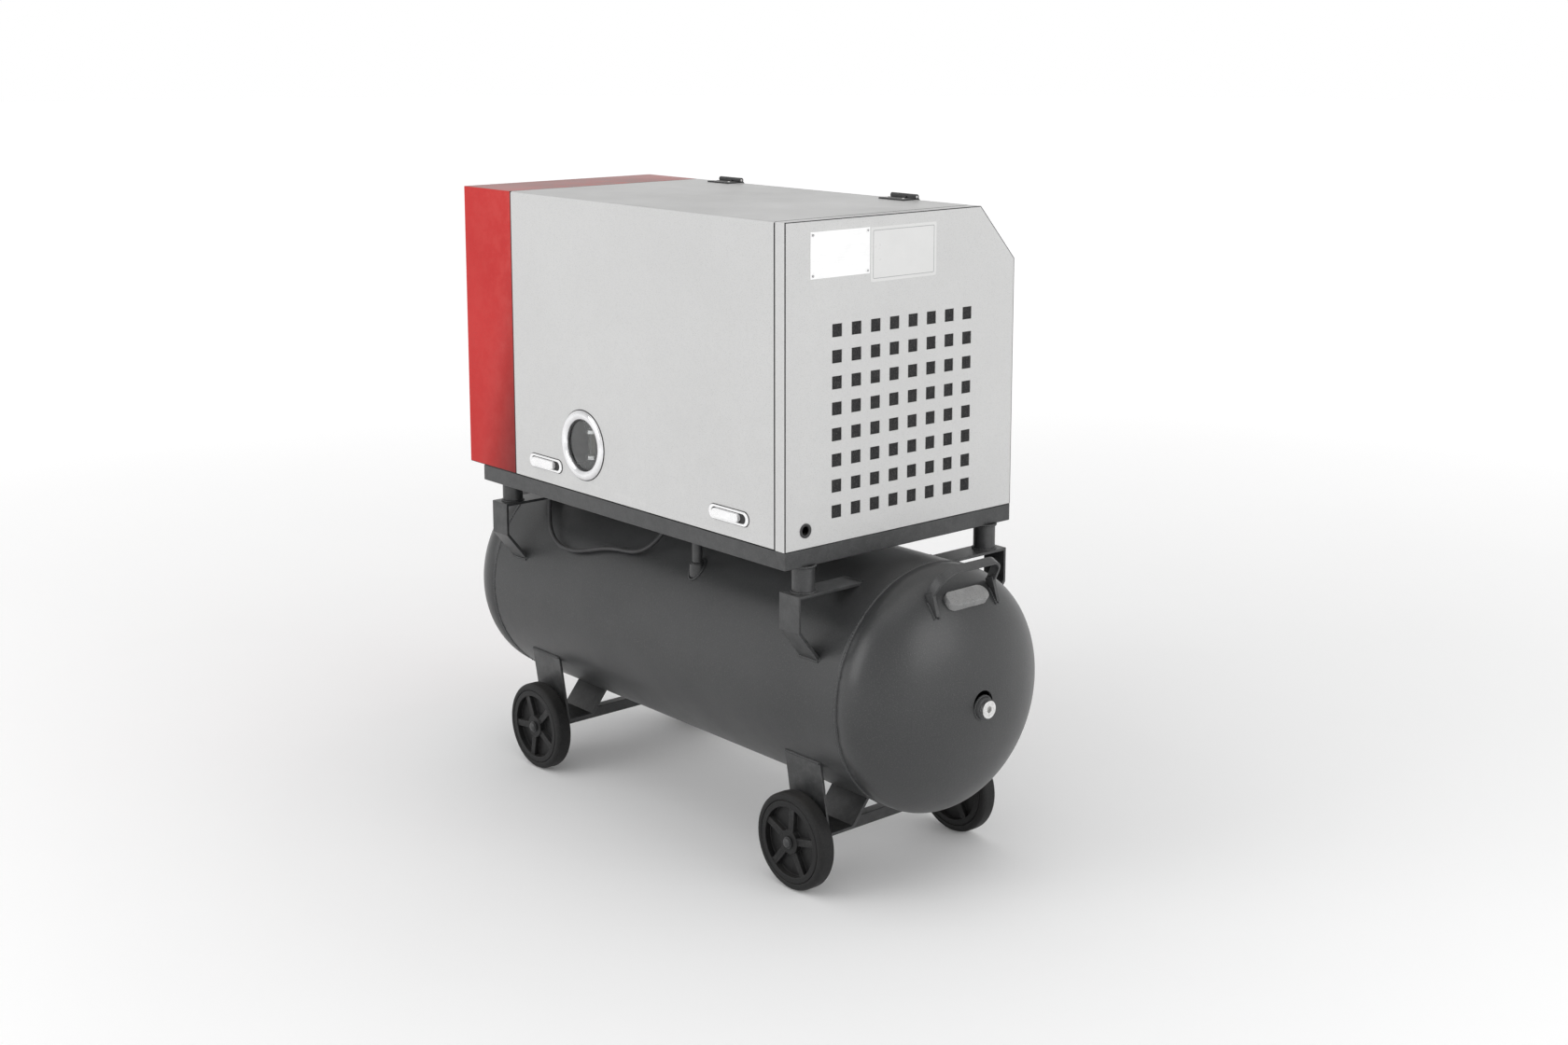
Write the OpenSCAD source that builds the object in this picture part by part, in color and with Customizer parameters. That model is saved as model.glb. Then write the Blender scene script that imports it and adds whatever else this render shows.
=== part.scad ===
// Screw air compressor in a sheet-metal cabinet, carried on a wheeled air receiver.
// Millimetres. Origin on the floor under the middle of the receiver, X along the
// receiver, -Y towards the side that opens, +Z up.

/* [Air receiver] */
// Outside diameter of the receiver
tank_d = 506; // [440:2:560]
// Length of the rolled shell, seam to seam
shell_l = 1194; // [900:2:1500]
// Plate thickness of the receiver
tank_wall = 4; // [3:0.5:8]
// Straight flange of each dished head
head_flange = 25; // [15:1:40]
// Depth of the dished part of each head
head_depth = 128; // [100:1:150]
// Height of the receiver's axis above the floor
tank_axis_z = 410; // [380:1:460]
// Outside diameter of the threaded socket in each head
socket_d = 44; // [30:1:60]
// Bore of that socket
socket_bore_d = 30; // [20:0.5:40]
// Height of the socket's axis below the receiver's axis
socket_drop = 8; // [0:1:30]

/* [Wheels] */
// Diameter over the tyre
wheel_d = 200; // [160:1:240]
// Width of a wheel
wheel_w = 38; // [30:1:50]
// Diameter of the plastic rim under the tyre
rim_d = 170; // [130:1:200]
// Distance over the outer faces of a wheel pair
wheel_track = 500; // [460:1:560]
// Distance between the two axles
wheel_base = 903; // [700:1:1100]
// X of the point halfway between the axles
wheel_mid_x = 6; // [-40:1:40]
// Diameter of an axle
axle_d = 20; // [14:0.5:25]
// Side of the square axle beam
beam_side = 25; // [20:1:40]
// Length of a wheel bracket along X
bracket_l = 107; // [80:1:140]
// Plate thickness of the wheel brackets
bracket_t = 5; // [3:0.5:8]

/* [Base frame] */
// X of the base frame's left end
base_x0 = -533; // [-600:1:-480]
// Width of cabinet and base frame across Y
body_w = 628; // [560:2:700]
// Underside of the base frame above the floor
base_z0 = 685; // [680:1:760]
// Height of the base frame's rails
rail_h = 35; // [25:1:50]
// Width of the base frame's rails
rail_w = 40; // [30:1:60]
// Wall of the rails
rail_wall = 3; // [2:0.5:5]
// Width of a saddle strap along X
strap_w = 58; // [40:1:80]
// Thickness of a saddle strap
strap_t = 6; // [4:0.5:10]
// Diameter of the post on each saddle strap
post_d = 46; // [30:1:60]

/* [Cabinet] */
// X of the cabinet's right face
cab_x1 = 520.5; // [480:0.5:580]
// Length of the whole cabinet
cab_l = 1108; // [1000:2:1200]
// Length of the coloured front cover
front_l = 187; // [120:1:240]
// Height of the cabinet
cab_h = 635; // [630:1:770]
// Y of the ridge where the far slope starts
ridge_y = 212; // [150:1:260]
// Height that the far slope falls
slope_fall = 114; // [60:1:160]
// Sheet thickness
sheet = 2; // [1.5:0.5:3]
// Width of the end hoop along X
hoop_w = 28; // [20:1:40]
// Side of a square air hole in the end panel
air_hole = 25.5; // [15:0.5:30]
// Pitch of the square air holes
air_pitch = 51; // [35:0.5:60]
// Air holes in a row and in a column
air_count = 8; // [3:1:9]
// Outside diameter of the window ring
window_d = 152; // [100:1:180]
// Diameter of the clear window
glass_d = 112; // [70:1:130]

/* [Latches and hinges] */
// Length of a latch bezel
latch_l = 122; // [100:1:150]
// Height of a latch bezel
latch_h = 29; // [27:1:40]
// How far a latch bar stands out of the cabinet side
latch_proud = 9; // [7:0.5:14]
// Length of a hinge along X
hinge_l = 75; // [50:1:110]
// Diameter of the hinge pin
hinge_pin_d = 6; // [4:0.5:8]
// Diameter of the hinge barrel
barrel_d = 11; // [9:0.5:14]

/* [Drive] */
// Diameter of the electric motor
motor_d = 210; // [160:1:230]
// Diameter of the motor pulley over the belts
motor_pulley_d = 150; // [120:1:160]
// Diameter of the screw unit's pulley over the belts
airend_pulley_d = 104; // [90:1:130]
// Diameter of the cooling fan
fan_d = 190; // [140:1:195]
// Diameter of the oil separator
separator_d = 168; // [130:1:180]

/* [Hidden] */
$fn = 64;

fit = 0.05;          // radial running clearance of a shaft in its bore
gap = 0.3;           // air between pieces that move past each other
seam = 0.8;          // shut line between cabinet panels
eps = 0.01;          // overshoot of a cut

// Receiver
tank_r = tank_d / 2;
shell_x = shell_l / 2;
dish_x = shell_x + head_flange;
apex_x = dish_x + head_depth;
socket_out = 8;      // socket's length outside the head's apex
plug_hex = 12;       // key size of the plug's hexagon socket
plug_d = 36;
plug_t = 9;

// Handles and plate pad on the heads
handle_y = 84;       // half distance between a handle's feet
handle_w = 20;       // width of the handle's strip
handle_t = 6;        // thickness of the handle's strip
foot_t = 8;          // thickness of its welded feet
handle_kink = 30;    // height of the feet up to the kink
handle_rise = 60;    // height of the bow above the kink
handle_lean = 26;    // lean of the bow away from the receiver, degrees
foot_lean = 18;      // lean of the feet back towards the receiver, degrees
handle_z = 192;      // height of the feet above the receiver's axis
pad_l = 110;
pad_h = 37;
pad_t = 9;
pad_z = 203;         // height of the pad above the receiver's axis

// Running gear
wheel_r = wheel_d / 2;
rim_r = rim_d / 2;
wheel_x = [wheel_mid_x + wheel_base / 2, wheel_mid_x - wheel_base / 2];
wheel_y = wheel_track / 2 - wheel_w / 2;
beam_end = wheel_track / 2 - wheel_w - 7;
rim_recess = 14;     // depth of the recess in each face of a rim
rim_lip = 13;        // width of the rim's outer band
hub_r = 25;
spoke_w = 15;
spoke_count = 5;
cap_r = 12;
cap_t = 9;

// Base frame and what joins it to the receiver
base_z1 = base_z0 + rail_h;
strap_top = base_z0 - 53;
strap_y = body_w / 2 - 23.5;       // outer face of a saddle strap
strap_bend_z = strap_top - 74;     // where its leg turns in towards the receiver
strap_x = [cab_x1 - 15.5, base_x0 + 25];
post_in = 37;                      // post axis inside the strap's outer face

// Cabinet
cab_x0 = cab_x1 - cab_l;
cab_z0 = base_z1 + 0.5;
cab_z1 = cab_z0 + cab_h;
side_y = body_w / 2;
front_x1 = cab_x0 + front_l;
slope_a = atan2(slope_fall, side_y - ridge_y);
hoop_x0 = cab_x1 - sheet - hoop_w + seam;
hoop_depth = 25;
pan_t = 2;
pan_z1 = base_z1;    // the pan lies between the rails, flush with their tops
foot_h = 12;         // height of the pads under motor and separator
hood_x0 = front_x1 + seam;
hood_x1 = hoop_x0 - seam;
hood_rear_y = ridge_y - 7;
hood_bend = 5;
window_x = cab_x0 + 448;
window_z = cab_z0 + 107;
window_proud = 7;
collar_t = 5.7;
glass_t = 3;
grommet_y = -side_y + 52;
grommet_z = cab_z0 + 36.5;
grommet_d = 25;
air_y0 = -181;
air_z0 = cab_z0 + 62.5;
plate_l = 154;
plate_h = 90;
plate_y = -174;
plate_z = cab_z0 + 568;
rivet_d = 5;

// Latches: the bar turns on an upright pin near its left end
latch_x = [cab_x0 + 308, cab_x0 + 940];
latch_z = cab_z0 + 45;
bezel_t = 3;
cup_depth = 14;
cup_wall = 2;
cup_l = latch_l - 12;
cup_h = latch_h - 5;
bar_h = cup_h - 2 * cup_wall - 2;
bar_l = 81;
bar_r = bar_h / 2;
pivot_dx = -37;
pivot_in = 2;        // pin axis inside the cabinet's face
latch_pin_d = 5;
arm_w = 10;
arm_reach = 28;      // from the pin axis to the far face of the hook
hook_t = 5;
hook_drop = 8;
keeper_w = 14;
keeper_t = 2;
keeper_gap = 5;

// Hinges on the ridge
hinge_x = [cab_x0 + 312, cab_x0 + 886];
leaf_t = 3;
leaf_w = 33;
barrel_z = cab_z1 + barrel_d / 2 + 0.5;
knuckle = (hinge_l - 1) / 3;

// Drive inside the cabinet
motor_x = 270;
motor_z = pan_z1 + 158;
motor_y0 = -190;
motor_y1 = 110;
airend_x = 20;
airend_z = pan_z1 + 238;
pulley_y0 = 140;
pulley_w = 36;
belt_w = 12;
belt_t = 6;
shaft_d = 28;
airend_shaft_d = 24;
airend_r = 62;
airend_lobe = 50;
airend_y0 = -72;
intake_y = 15;
airend_y1 = 112;
sep_x = window_x - 4;
sep_y = -172;
sep_z1 = cab_z0 + 400;
sight_x = window_x - 28;
sight_z = window_z - 8;
sight_l = 90;
sight_d = 14;
filter_d = 96;
filter_h = 150;
fan_x = 120;
fan_z = cab_z1 - 225;
fan_y = 172;
cooler_l = 400;
cooler_h = 270;
cooler_y = 222;
cooler_t = 60;
shroud_w = 218;
shroud_x0 = fan_x - shroud_w / 2;
stop_y = -120;
stop_z = cab_z1 - 130;

// Outlet valve on the far side, drain under the receiver
outlet_x = -300;
outlet_end_y = side_y + latch_proud;
valve_d = 34;
lever_l = 95;
safety_x = -180;
drain_x = -300;
pipe_x = 91;
pipe_y = -187;
pipe_d = 22;

// Route of the control hose: out of a fitting under the floor, along the
// receiver's shoulder and back up into a second fitting
hose_d = 9.5;
hose_end_z = base_z0 - 6;
hose_route = [
    [-441, -196, hose_end_z], [-441, -196, 664], [-437, -200, 634], [-426, -208, 606],
    [-408, -219, 582], [-386, -225, 562], [-358, -228, 550], [-326, -227, 546],
    [-294, -224, 548], [-262, -219, 555], [-228, -213, 564], [-194, -209, 571],
    [-160, -207, 575], [-128, -205, 577], [-100, -201, 582], [-78, -193, 592],
    [-62, -182, 608], [-50, -170, 628], [-41, -160, 650], [-38, -156, 666],
    [-38, -156, hose_end_z]
];
hose_ends = [hose_route[0], hose_route[len(hose_route) - 1]];
fitting_d = 12;

// Prisms: a flat shape in YZ drawn out along X, or in XZ drawn out along Y
module along_x(x0, x1) translate([x0, 0, 0]) rotate([90, 0, 90]) linear_extrude(x1 - x0) children();
module along_y(y0, y1) translate([0, y1, 0]) rotate([90, 0, 0]) linear_extrude(y1 - y0) children();
// Round bars along each axis
module rod_x(x0, x1, y, z, d) translate([x0, y, z]) rotate([0, 90, 0]) cylinder(d = d, h = x1 - x0);
module rod_y(x, y0, y1, z, d) translate([x, y0, z]) rotate([-90, 0, 0]) cylinder(d = d, h = y1 - y0);
module rod_z(x, y, z0, z1, d) translate([x, y, z0]) cylinder(d = d, h = z1 - z0);
module block(x0, x1, y0, y1, z0, z1) translate([x0, y0, z0]) cube([x1 - x0, y1 - y0, z1 - z0]);
// Flat slot shape with round ends
module slot_2d(l, h) {
    square([l - h, h], center = true);
    for (s = [-1, 1]) translate([s * (l - h) / 2, 0]) circle(d = h);
}
module both_y() { children(); mirror([0, 1, 0]) children(); }
module both_x() { children(); mirror([1, 0, 0]) children(); }

// Cross-section of the cabinet in YZ, shrunk by t on every side
module cabinet_2d(t) polygon([
    [-side_y + t, cab_z0 + t], [side_y - t, cab_z0 + t],
    [side_y - t, cab_z1 - slope_fall - t * (1 - sin(slope_a)) / cos(slope_a)],
    [ridge_y - t * tan(slope_a / 2), cab_z1 - t], [-side_y + t, cab_z1 - t]
]);

// ---- Receiver ----
function dish_point(r, depth, a) = [r * cos(a), depth * sin(a)];
module head_2d() {
    polygon(concat(
        [[tank_r, 0]], [for (i = [0:22]) dish_point(tank_r, head_depth, i * 4) + [0, head_flange]],
        [[0, head_flange + head_depth], [0, head_flange + head_depth - tank_wall]],
        [for (i = [22:-1:0]) dish_point(tank_r - tank_wall, head_depth - tank_wall, i * 4)
            + [0, head_flange]],
        [[tank_r - tank_wall, 0]]
    ));
}
module tank_head() {
    difference() {
        union() {
            translate([shell_x, 0, tank_axis_z]) rotate([0, 90, 0]) rotate_extrude($fn = 128) head_2d();
            rod_x(apex_x - 12, apex_x + socket_out, 0, tank_axis_z - socket_drop, socket_d);
        }
        rod_x(apex_x - 20, apex_x + socket_out + eps, 0, tank_axis_z - socket_drop, socket_bore_d);
    }
}
module tank_shell() color("dimgray") difference() {
    rod_x(-shell_x, shell_x, 0, tank_axis_z, tank_d, $fn = 128);
    rod_x(-shell_x - 1, shell_x + 1, 0, tank_axis_z, tank_d - 2 * tank_wall, $fn = 128);
}
module tank_head_right() color("dimgray") tank_head();
module tank_head_left() color("dimgray") mirror([1, 0, 0]) tank_head();

// Height of the head's outside surface above the axis gives its X
function head_x(z, y) = dish_x + head_depth * sqrt(1 - (z * z + y * y) / (tank_r * tank_r));
foot_x = head_x(handle_z, handle_y);
pad_x = head_x(pad_z, 0);
pad_tilt = atan2((pad_x - dish_x) / (head_depth * head_depth), pad_z / (tank_r * tank_r));

// The bow lies in a leaning plane, its feet lean the other way
bow_near_r = 54;
bow_far_r = 28;
module bow_corner(r, a0) rotate([0, 0, a0]) rotate_extrude(angle = 90)
    translate([r - handle_t, 0]) square([handle_t, handle_w]);
module bow() {
    top = handle_rise;
    outer = handle_y + handle_t / 2;
    translate([-outer, 0, 0]) cube([handle_t, top - bow_near_r, handle_w]);
    translate([-outer + bow_near_r, top - bow_near_r, 0]) bow_corner(bow_near_r, 90);
    translate([-outer + bow_near_r, top - handle_t, 0])
        cube([2 * outer - bow_near_r - bow_far_r, handle_t, handle_w]);
    translate([outer - bow_far_r, top - bow_far_r, 0]) bow_corner(bow_far_r, 0);
    translate([outer - handle_t, 0, 0]) cube([handle_t, top - bow_far_r, handle_w]);
}
module handle() {
    kink_x = foot_x - handle_kink * tan(foot_lean);
    translate([kink_x - handle_w / 2, 0, tank_axis_z + handle_z + handle_kink])
        rotate([0, handle_lean, 0]) rotate([90, 0, 90]) bow();
    difference() {
        both_y() translate([kink_x, handle_y, tank_axis_z + handle_z + handle_kink])
            rotate([0, 180 - foot_lean, 0]) translate([-handle_w / 2 - 0.5, -foot_t / 2, -3])
                cube([handle_w + 1, foot_t, handle_kink * 1.6]);
        translate([dish_x, 0, tank_axis_z]) head_core();
    }
}
// Solid filled head, to cut what is welded onto it to its surface
module head_core() rotate([0, 90, 0]) rotate_extrude($fn = 128)
    polygon(concat([[0, 0], [0, -head_flange], [tank_r, -head_flange]],
        [for (i = [0:22]) dish_point(tank_r, head_depth, i * 4)], [[0, head_depth]]));
module lifting_handles() color("dimgray") both_x() handle();
module plate_pad() color("gray") difference() {
    translate([pad_x, 0, tank_axis_z + pad_z]) rotate([0, 90 - pad_tilt, 0])
        translate([0, 0, -pad_t]) linear_extrude(2 * pad_t) rotate([0, 0, 90]) slot_2d(pad_l, pad_h);
    translate([dish_x, 0, tank_axis_z]) head_core();
}
module end_plug() difference() {
    union() {
        rod_x(apex_x + socket_out, apex_x + socket_out + plug_t, 0, tank_axis_z - socket_drop, plug_d);
        rod_x(apex_x - 6, apex_x + socket_out, 0, tank_axis_z - socket_drop, socket_bore_d);
    }
    translate([apex_x + socket_out, 0, tank_axis_z - socket_drop]) rotate([0, 90, 0])
        cylinder(d = plug_hex / cos(30), h = plug_t + 1, $fn = 6);
}
module end_plugs() color("silver") both_x() end_plug();

// ---- Running gear ----
// Bent plate in YZ: down off the receiver, across the beam's top, back up
module bracket_2d() {
    top = wheel_r + beam_side / 2;
    t = bracket_t;
    difference() {
        polygon([
            [-214, tank_axis_z - 136], [-185 - t, top], [-124 + t, top], [-70, tank_axis_z - 236],
            [-76, tank_axis_z - 232], [-124, top + t], [-185, top + t], [-207, tank_axis_z - 140]
        ]);
        translate([0, tank_axis_z]) circle(r = tank_r, $fn = 128);
    }
}
module wheel_brackets() color("dimgray") for (x = wheel_x) both_y()
    along_x(x - bracket_l / 2, x + bracket_l / 2) bracket_2d();
module axle_beams() color("dimgray") for (x = wheel_x) difference() {
    block(x - beam_side / 2, x + beam_side / 2, -beam_end, beam_end,
        wheel_r - beam_side / 2, wheel_r + beam_side / 2);
    rod_y(x, -beam_end - 1, beam_end + 1, wheel_r, axle_d);
}
module axles() color("gray") for (x = wheel_x) {
    cap_y = wheel_track / 2 + gap;
    rod_y(x, -cap_y, cap_y, wheel_r, axle_d);
    both_y() rod_y(x, beam_end, wheel_y - wheel_w / 2 - gap, wheel_r, 2 * cap_r + 8);
    both_y() rod_y(x, cap_y, cap_y + cap_t, wheel_r, 2 * cap_r);
}
module rim() {
    half = wheel_w / 2;
    face = half - rim_recess;
    bore_r = axle_d / 2 + fit;
    rotate_extrude($fn = 96) polygon([
        [bore_r, -half], [hub_r, -half], [hub_r, -face], [rim_r - rim_lip, -face],
        [rim_r - rim_lip, -half], [rim_r - 2, -half], [rim_r, -half + 2], [rim_r, half - 2],
        [rim_r - 2, half], [rim_r - rim_lip, half], [rim_r - rim_lip, face], [hub_r, face],
        [hub_r, half], [bore_r, half]
    ]);
    for (i = [0:spoke_count - 1]) rotate([0, 0, 13 + i * 360 / spoke_count])
        translate([hub_r - 3, -spoke_w / 2, -half + 3])
            cube([rim_r - rim_lip - hub_r + 5, spoke_w, wheel_w - 6]);
}
module tyre() {
    half = wheel_w / 2;
    rotate_extrude($fn = 96) polygon([
        [rim_r, -half + 2], [rim_r + 2, -half], [wheel_r - 7, -half], [wheel_r - 2, -half + 3],
        [wheel_r, -half + 8], [wheel_r, half - 8], [wheel_r - 2, half - 3], [wheel_r - 7, half],
        [rim_r + 2, half], [rim_r, half - 2]
    ]);
}
// side is -1 on the near side and 1 on the far side
module at_wheel(i, side) translate([wheel_x[i], side * wheel_y, wheel_r]) rotate([90, 0, 0]) children();
module rim_right_near() color("black") at_wheel(0, -1) rim();
module rim_right_far() color("black") at_wheel(0, 1) rim();
module rim_left_near() color("black") at_wheel(1, -1) rotate([0, 0, 30]) rim();
module rim_left_far() color("black") at_wheel(1, 1) rotate([0, 0, 30]) rim();
module tyre_right_near() color("black") at_wheel(0, -1) tyre();
module tyre_right_far() color("black") at_wheel(0, 1) tyre();
module tyre_left_near() color("black") at_wheel(1, -1) rotate([0, 0, 30]) tyre();
module tyre_left_far() color("black") at_wheel(1, 1) rotate([0, 0, 30]) tyre();

// ---- Base frame ----
module strap_2d() difference() {
    polygon([
        [-60, strap_top], [-strap_y, strap_top], [-strap_y, strap_bend_z],
        [-tank_r + 30, strap_bend_z - 84], [-tank_r + 38, strap_bend_z - 82],
        [-strap_y + strap_t, strap_bend_z + 3], [-strap_y + strap_t, strap_top - strap_t],
        [-60, strap_top - strap_t]
    ]);
    translate([0, tank_axis_z]) circle(r = tank_r, $fn = 128);
}
module saddle_straps() color("dimgray") for (x = strap_x) both_y()
    along_x(x - strap_w / 2, x + strap_w / 2) strap_2d();
module posts() color("dimgray") for (x = strap_x) both_y() difference() {
    rod_z(x, -strap_y + post_in, strap_top, base_z0, post_d);
    rod_z(x, -strap_y + post_in, strap_top - 1, base_z0 + 1, post_d - 8);
}
// Folded channel, open towards the middle of the frame, with closed ends
module rail_y(side) difference() {
    y = side * side_y;
    block(base_x0, cab_x1, min(y, y - side * rail_w), max(y, y - side * rail_w), base_z0, base_z1);
    y_in = y - side * rail_wall;
    y_out = y - side * (rail_w + 1);
    block(base_x0 + rail_wall, cab_x1 - rail_wall, min(y_in, y_out), max(y_in, y_out),
        base_z0 + rail_wall, base_z1 - rail_wall);
}
module rail_x(x, side) difference() {
    end_y = side_y - rail_w;
    block(min(x, x - side * rail_w), max(x, x - side * rail_w), -end_y, end_y, base_z0, base_z1);
    x_in = x - side * rail_wall;
    x_out = x - side * (rail_w + 1);
    block(min(x_in, x_out), max(x_in, x_out), -end_y - 1, end_y + 1,
        base_z0 + rail_wall, base_z1 - rail_wall);
}
keeper_y = -side_y + pivot_in + arm_reach - hook_t - keeper_gap;
module base_frame() color("dimgray") {
    rail_y(-1);
    rail_y(1);
    rail_x(base_x0, -1);
    rail_x(cab_x1, 1);
    for (x = latch_x) block(x + pivot_dx - keeper_w / 2, x + pivot_dx + keeper_w / 2,
        keeper_y - keeper_t, keeper_y, base_z1 - rail_wall, latch_z - arm_w / 2 - 5);
}
module floor_pan() color("gray") difference() {
    block(base_x0 + rail_w, cab_x1 - rail_w, -side_y + rail_w, side_y - rail_w, base_z1 - pan_t, base_z1);
    rod_z(pipe_x, pipe_y, base_z1 - pan_t - 1, base_z1 + 1, pipe_d);
    for (p = hose_ends) rod_z(p[0], p[1], base_z1 - pan_t - 1, base_z1 + 1, fitting_d);
}

// ---- Pipes and fittings under the floor ----
module delivery_pipe() color("dimgray") {
    surface_z = tank_axis_z + sqrt(tank_r * tank_r - pipe_y * pipe_y);
    difference() {
        rod_z(pipe_x, pipe_y, surface_z - 20, pan_z1 + 40, pipe_d);
        rod_x(pipe_x - 40, pipe_x + 40, 0, tank_axis_z, tank_d, $fn = 128);
    }
    difference() {
        rod_z(pipe_x, pipe_y, surface_z - 16, surface_z + 12, pipe_d + 12);
        rod_x(pipe_x - 40, pipe_x + 40, 0, tank_axis_z, tank_d, $fn = 128);
        rod_z(pipe_x, pipe_y, surface_z - 30, surface_z + 30, pipe_d - eps);
    }
}
// Tube swept along a route: a ring of points square to the route at each of its points
hose_sides = 10;
function unit(v) = v / norm(v);
function tangent(p, i) = unit(p[min(i + 1, len(p) - 1)] - p[max(i - 1, 0)]);
function side_of(t) = unit(cross(t, abs(t[1]) > 0.9 ? [1, 0, 0] : [0, 1, 0]));
function ring(c, t, r) = let (u = side_of(t), v = cross(t, u))
    [for (k = [0:hose_sides - 1]) c + r * (cos(k * 360 / hose_sides) * u + sin(k * 360 / hose_sides) * v)];
module swept_tube(p, r) {
    n = len(p);
    m = hose_sides;
    polyhedron(
        points = [for (i = [0:n - 1]) each ring(p[i], tangent(p, i), r)],
        faces = concat(
            [[for (k = [0:m - 1]) k]], [[for (k = [m - 1:-1:0]) (n - 1) * m + k]],
            [for (i = [0:n - 2], k = [0:m - 1]) [i * m + k, (i + 1) * m + k, (i + 1) * m + (k + 1) % m]],
            [for (i = [0:n - 2], k = [0:m - 1]) [i * m + k, (i + 1) * m + (k + 1) % m, i * m + (k + 1) % m]]
        )
    );
}
module control_hose() color("black") swept_tube(hose_route, hose_d / 2);
module hose_fittings() color("silver") for (p = hose_ends) translate([p[0], p[1], hose_end_z]) {
    cylinder(d = fitting_d + 5, h = 10, $fn = 6);
    translate([0, 0, 10]) cylinder(d = fitting_d, h = pan_z1 - hose_end_z - 10);
}
module drain_body() color("gray") {
    z = tank_axis_z - tank_r;
    difference() {
        union() {
            rod_z(drain_x, 0, z - 7, z + tank_wall, 30);
            rod_z(drain_x, 0, z - 14, z - 7, 18);
        }
        rod_z(drain_x, 0, z - 15, z + tank_wall + 1, 8 + 2 * fit);
        rod_x(drain_x - 30, drain_x + 30, 0, tank_axis_z, tank_d - eps, $fn = 128);
    }
}
module drain_knob() color("goldenrod") {
    z = tank_axis_z - tank_r;
    rod_z(drain_x, 0, z - 15, z - 2, 8);
    for (a = [0, 60, 120]) translate([drain_x, 0, z - 19]) rotate([0, 0, a])
        cube([22, 6, 8], center = true);
}
module outlet_valve() color("silver") difference() {
    union() {
        rod_y(outlet_x, tank_r - 12, tank_r + 14, tank_axis_z, valve_d + 4);
        rod_y(outlet_x, tank_r + 10, outlet_end_y, tank_axis_z, valve_d - 6);
        translate([outlet_x, tank_r + 28, tank_axis_z]) sphere(d = valve_d);
        translate([outlet_x, outlet_end_y - 14, tank_axis_z]) rotate([-90, 0, 0])
            cylinder(d = valve_d + 2, h = 14, $fn = 6);
        rod_z(outlet_x, tank_r + 28, tank_axis_z, tank_axis_z + valve_d / 2 + 7, 14);
    }
    rod_y(outlet_x, tank_r + 16, outlet_end_y + 1, tank_axis_z, 16);
    rod_x(outlet_x - 60, outlet_x + 60, 0, tank_axis_z, tank_d - eps, $fn = 128);
    rod_z(outlet_x, tank_r + 28, tank_axis_z + valve_d / 2 - 6, tank_axis_z + valve_d, 6 + 2 * fit);
}
module outlet_lever() color("red") {
    z = tank_axis_z + valve_d / 2 + 7 + gap;
    y = tank_r + 28;
    rod_z(outlet_x, y, z - 12, z + 3, 6);
    rod_z(outlet_x, y, z, z + 5, 20);
    block(outlet_x, outlet_x + lever_l, y - 8, y + 8, z, z + 3);
    rod_z(outlet_x + lever_l, y, z, z + 3, 16);
}
module safety_valve() color("goldenrod") {
    a = 38;
    translate([safety_x, 0, tank_axis_z]) rotate([-90 + a, 0, 0]) difference() {
        union() {
            cylinder(d = 26, h = tank_r + 8);
            cylinder(d = 22, h = tank_r + 24, $fn = 6);
            cylinder(d = 16, h = tank_r + 44);
        }
        rotate([90 - a, 0, 0]) rod_x(-40, 40, 0, 0, tank_d - eps, $fn = 128);
    }
}

// ---- Cabinet ----
module end_hoop() color("lightgray") difference() {
    along_x(hoop_x0, cab_x1 - sheet) cabinet_2d(0);
    along_x(hoop_x0 - 1, cab_x1) cabinet_2d(hoop_depth);
}
module bulkhead() color("gray") along_x(front_x1 - 3, front_x1) cabinet_2d(sheet);
module end_panel() color("lightgray") difference() {
    along_x(cab_x1 - sheet, cab_x1) cabinet_2d(0);
    for (i = [0:air_count - 1], j = [0:air_count - 1])
        translate([cab_x1 - sheet / 2, air_y0 + i * air_pitch, air_z0 + j * air_pitch])
            cube([sheet + 2, air_hole, air_hole], center = true);
    rod_x(cab_x1 - sheet - 1, cab_x1 + 1, grommet_y, grommet_z, grommet_d);
    for (y = [-1, 1], z = [-1, 1]) rod_x(cab_x1 - sheet - 1, cab_x1 + 1,
        plate_y + y * (plate_l / 2 - 8), plate_z + z * (plate_h / 2 - 8), rivet_d - 1.5);
}
module filter_mat() color("black") block(cab_x1 - sheet - 10, cab_x1 - sheet,
    air_y0 - 28, air_y0 + (air_count - 1) * air_pitch + 28,
    air_z0 - 28, air_z0 + (air_count - 1) * air_pitch + 28);
module cable_grommet() color("black") difference() {
    union() {
        rod_x(cab_x1 - sheet, cab_x1, grommet_y, grommet_z, grommet_d);
        rod_x(cab_x1, cab_x1 + 2, grommet_y, grommet_z, grommet_d + 4);
    }
    rod_x(cab_x1 - sheet - 1, cab_x1 + 3, grommet_y, grommet_z, grommet_d - 9);
}
module far_panel() color("lightgray") difference() {
    along_x(front_x1, hoop_x0) difference() {
        cabinet_2d(0);
        cabinet_2d(sheet);
        translate([-side_y - 1, cab_z0 - 1]) square([side_y + ridge_y - 5, cab_h + 2]);
        translate([-side_y - 1, cab_z0 - 1]) square([2 * side_y - 24, sheet + 2]);
    }
    for (k = [0:11]) block(fan_x - 170, fan_x + 170, side_y - sheet - 1, side_y + 1,
        fan_z - 118 + k * 20, fan_z - 110 + k * 20);
}
module front_cover() color("firebrick") difference() {
    along_x(cab_x0, front_x1) cabinet_2d(0);
    along_x(cab_x0 + sheet, front_x1 + 1) cabinet_2d(sheet);
    rod_x(cab_x0 - 1, cab_x0 + sheet + 1, stop_y, stop_z, 23);
}
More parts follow.
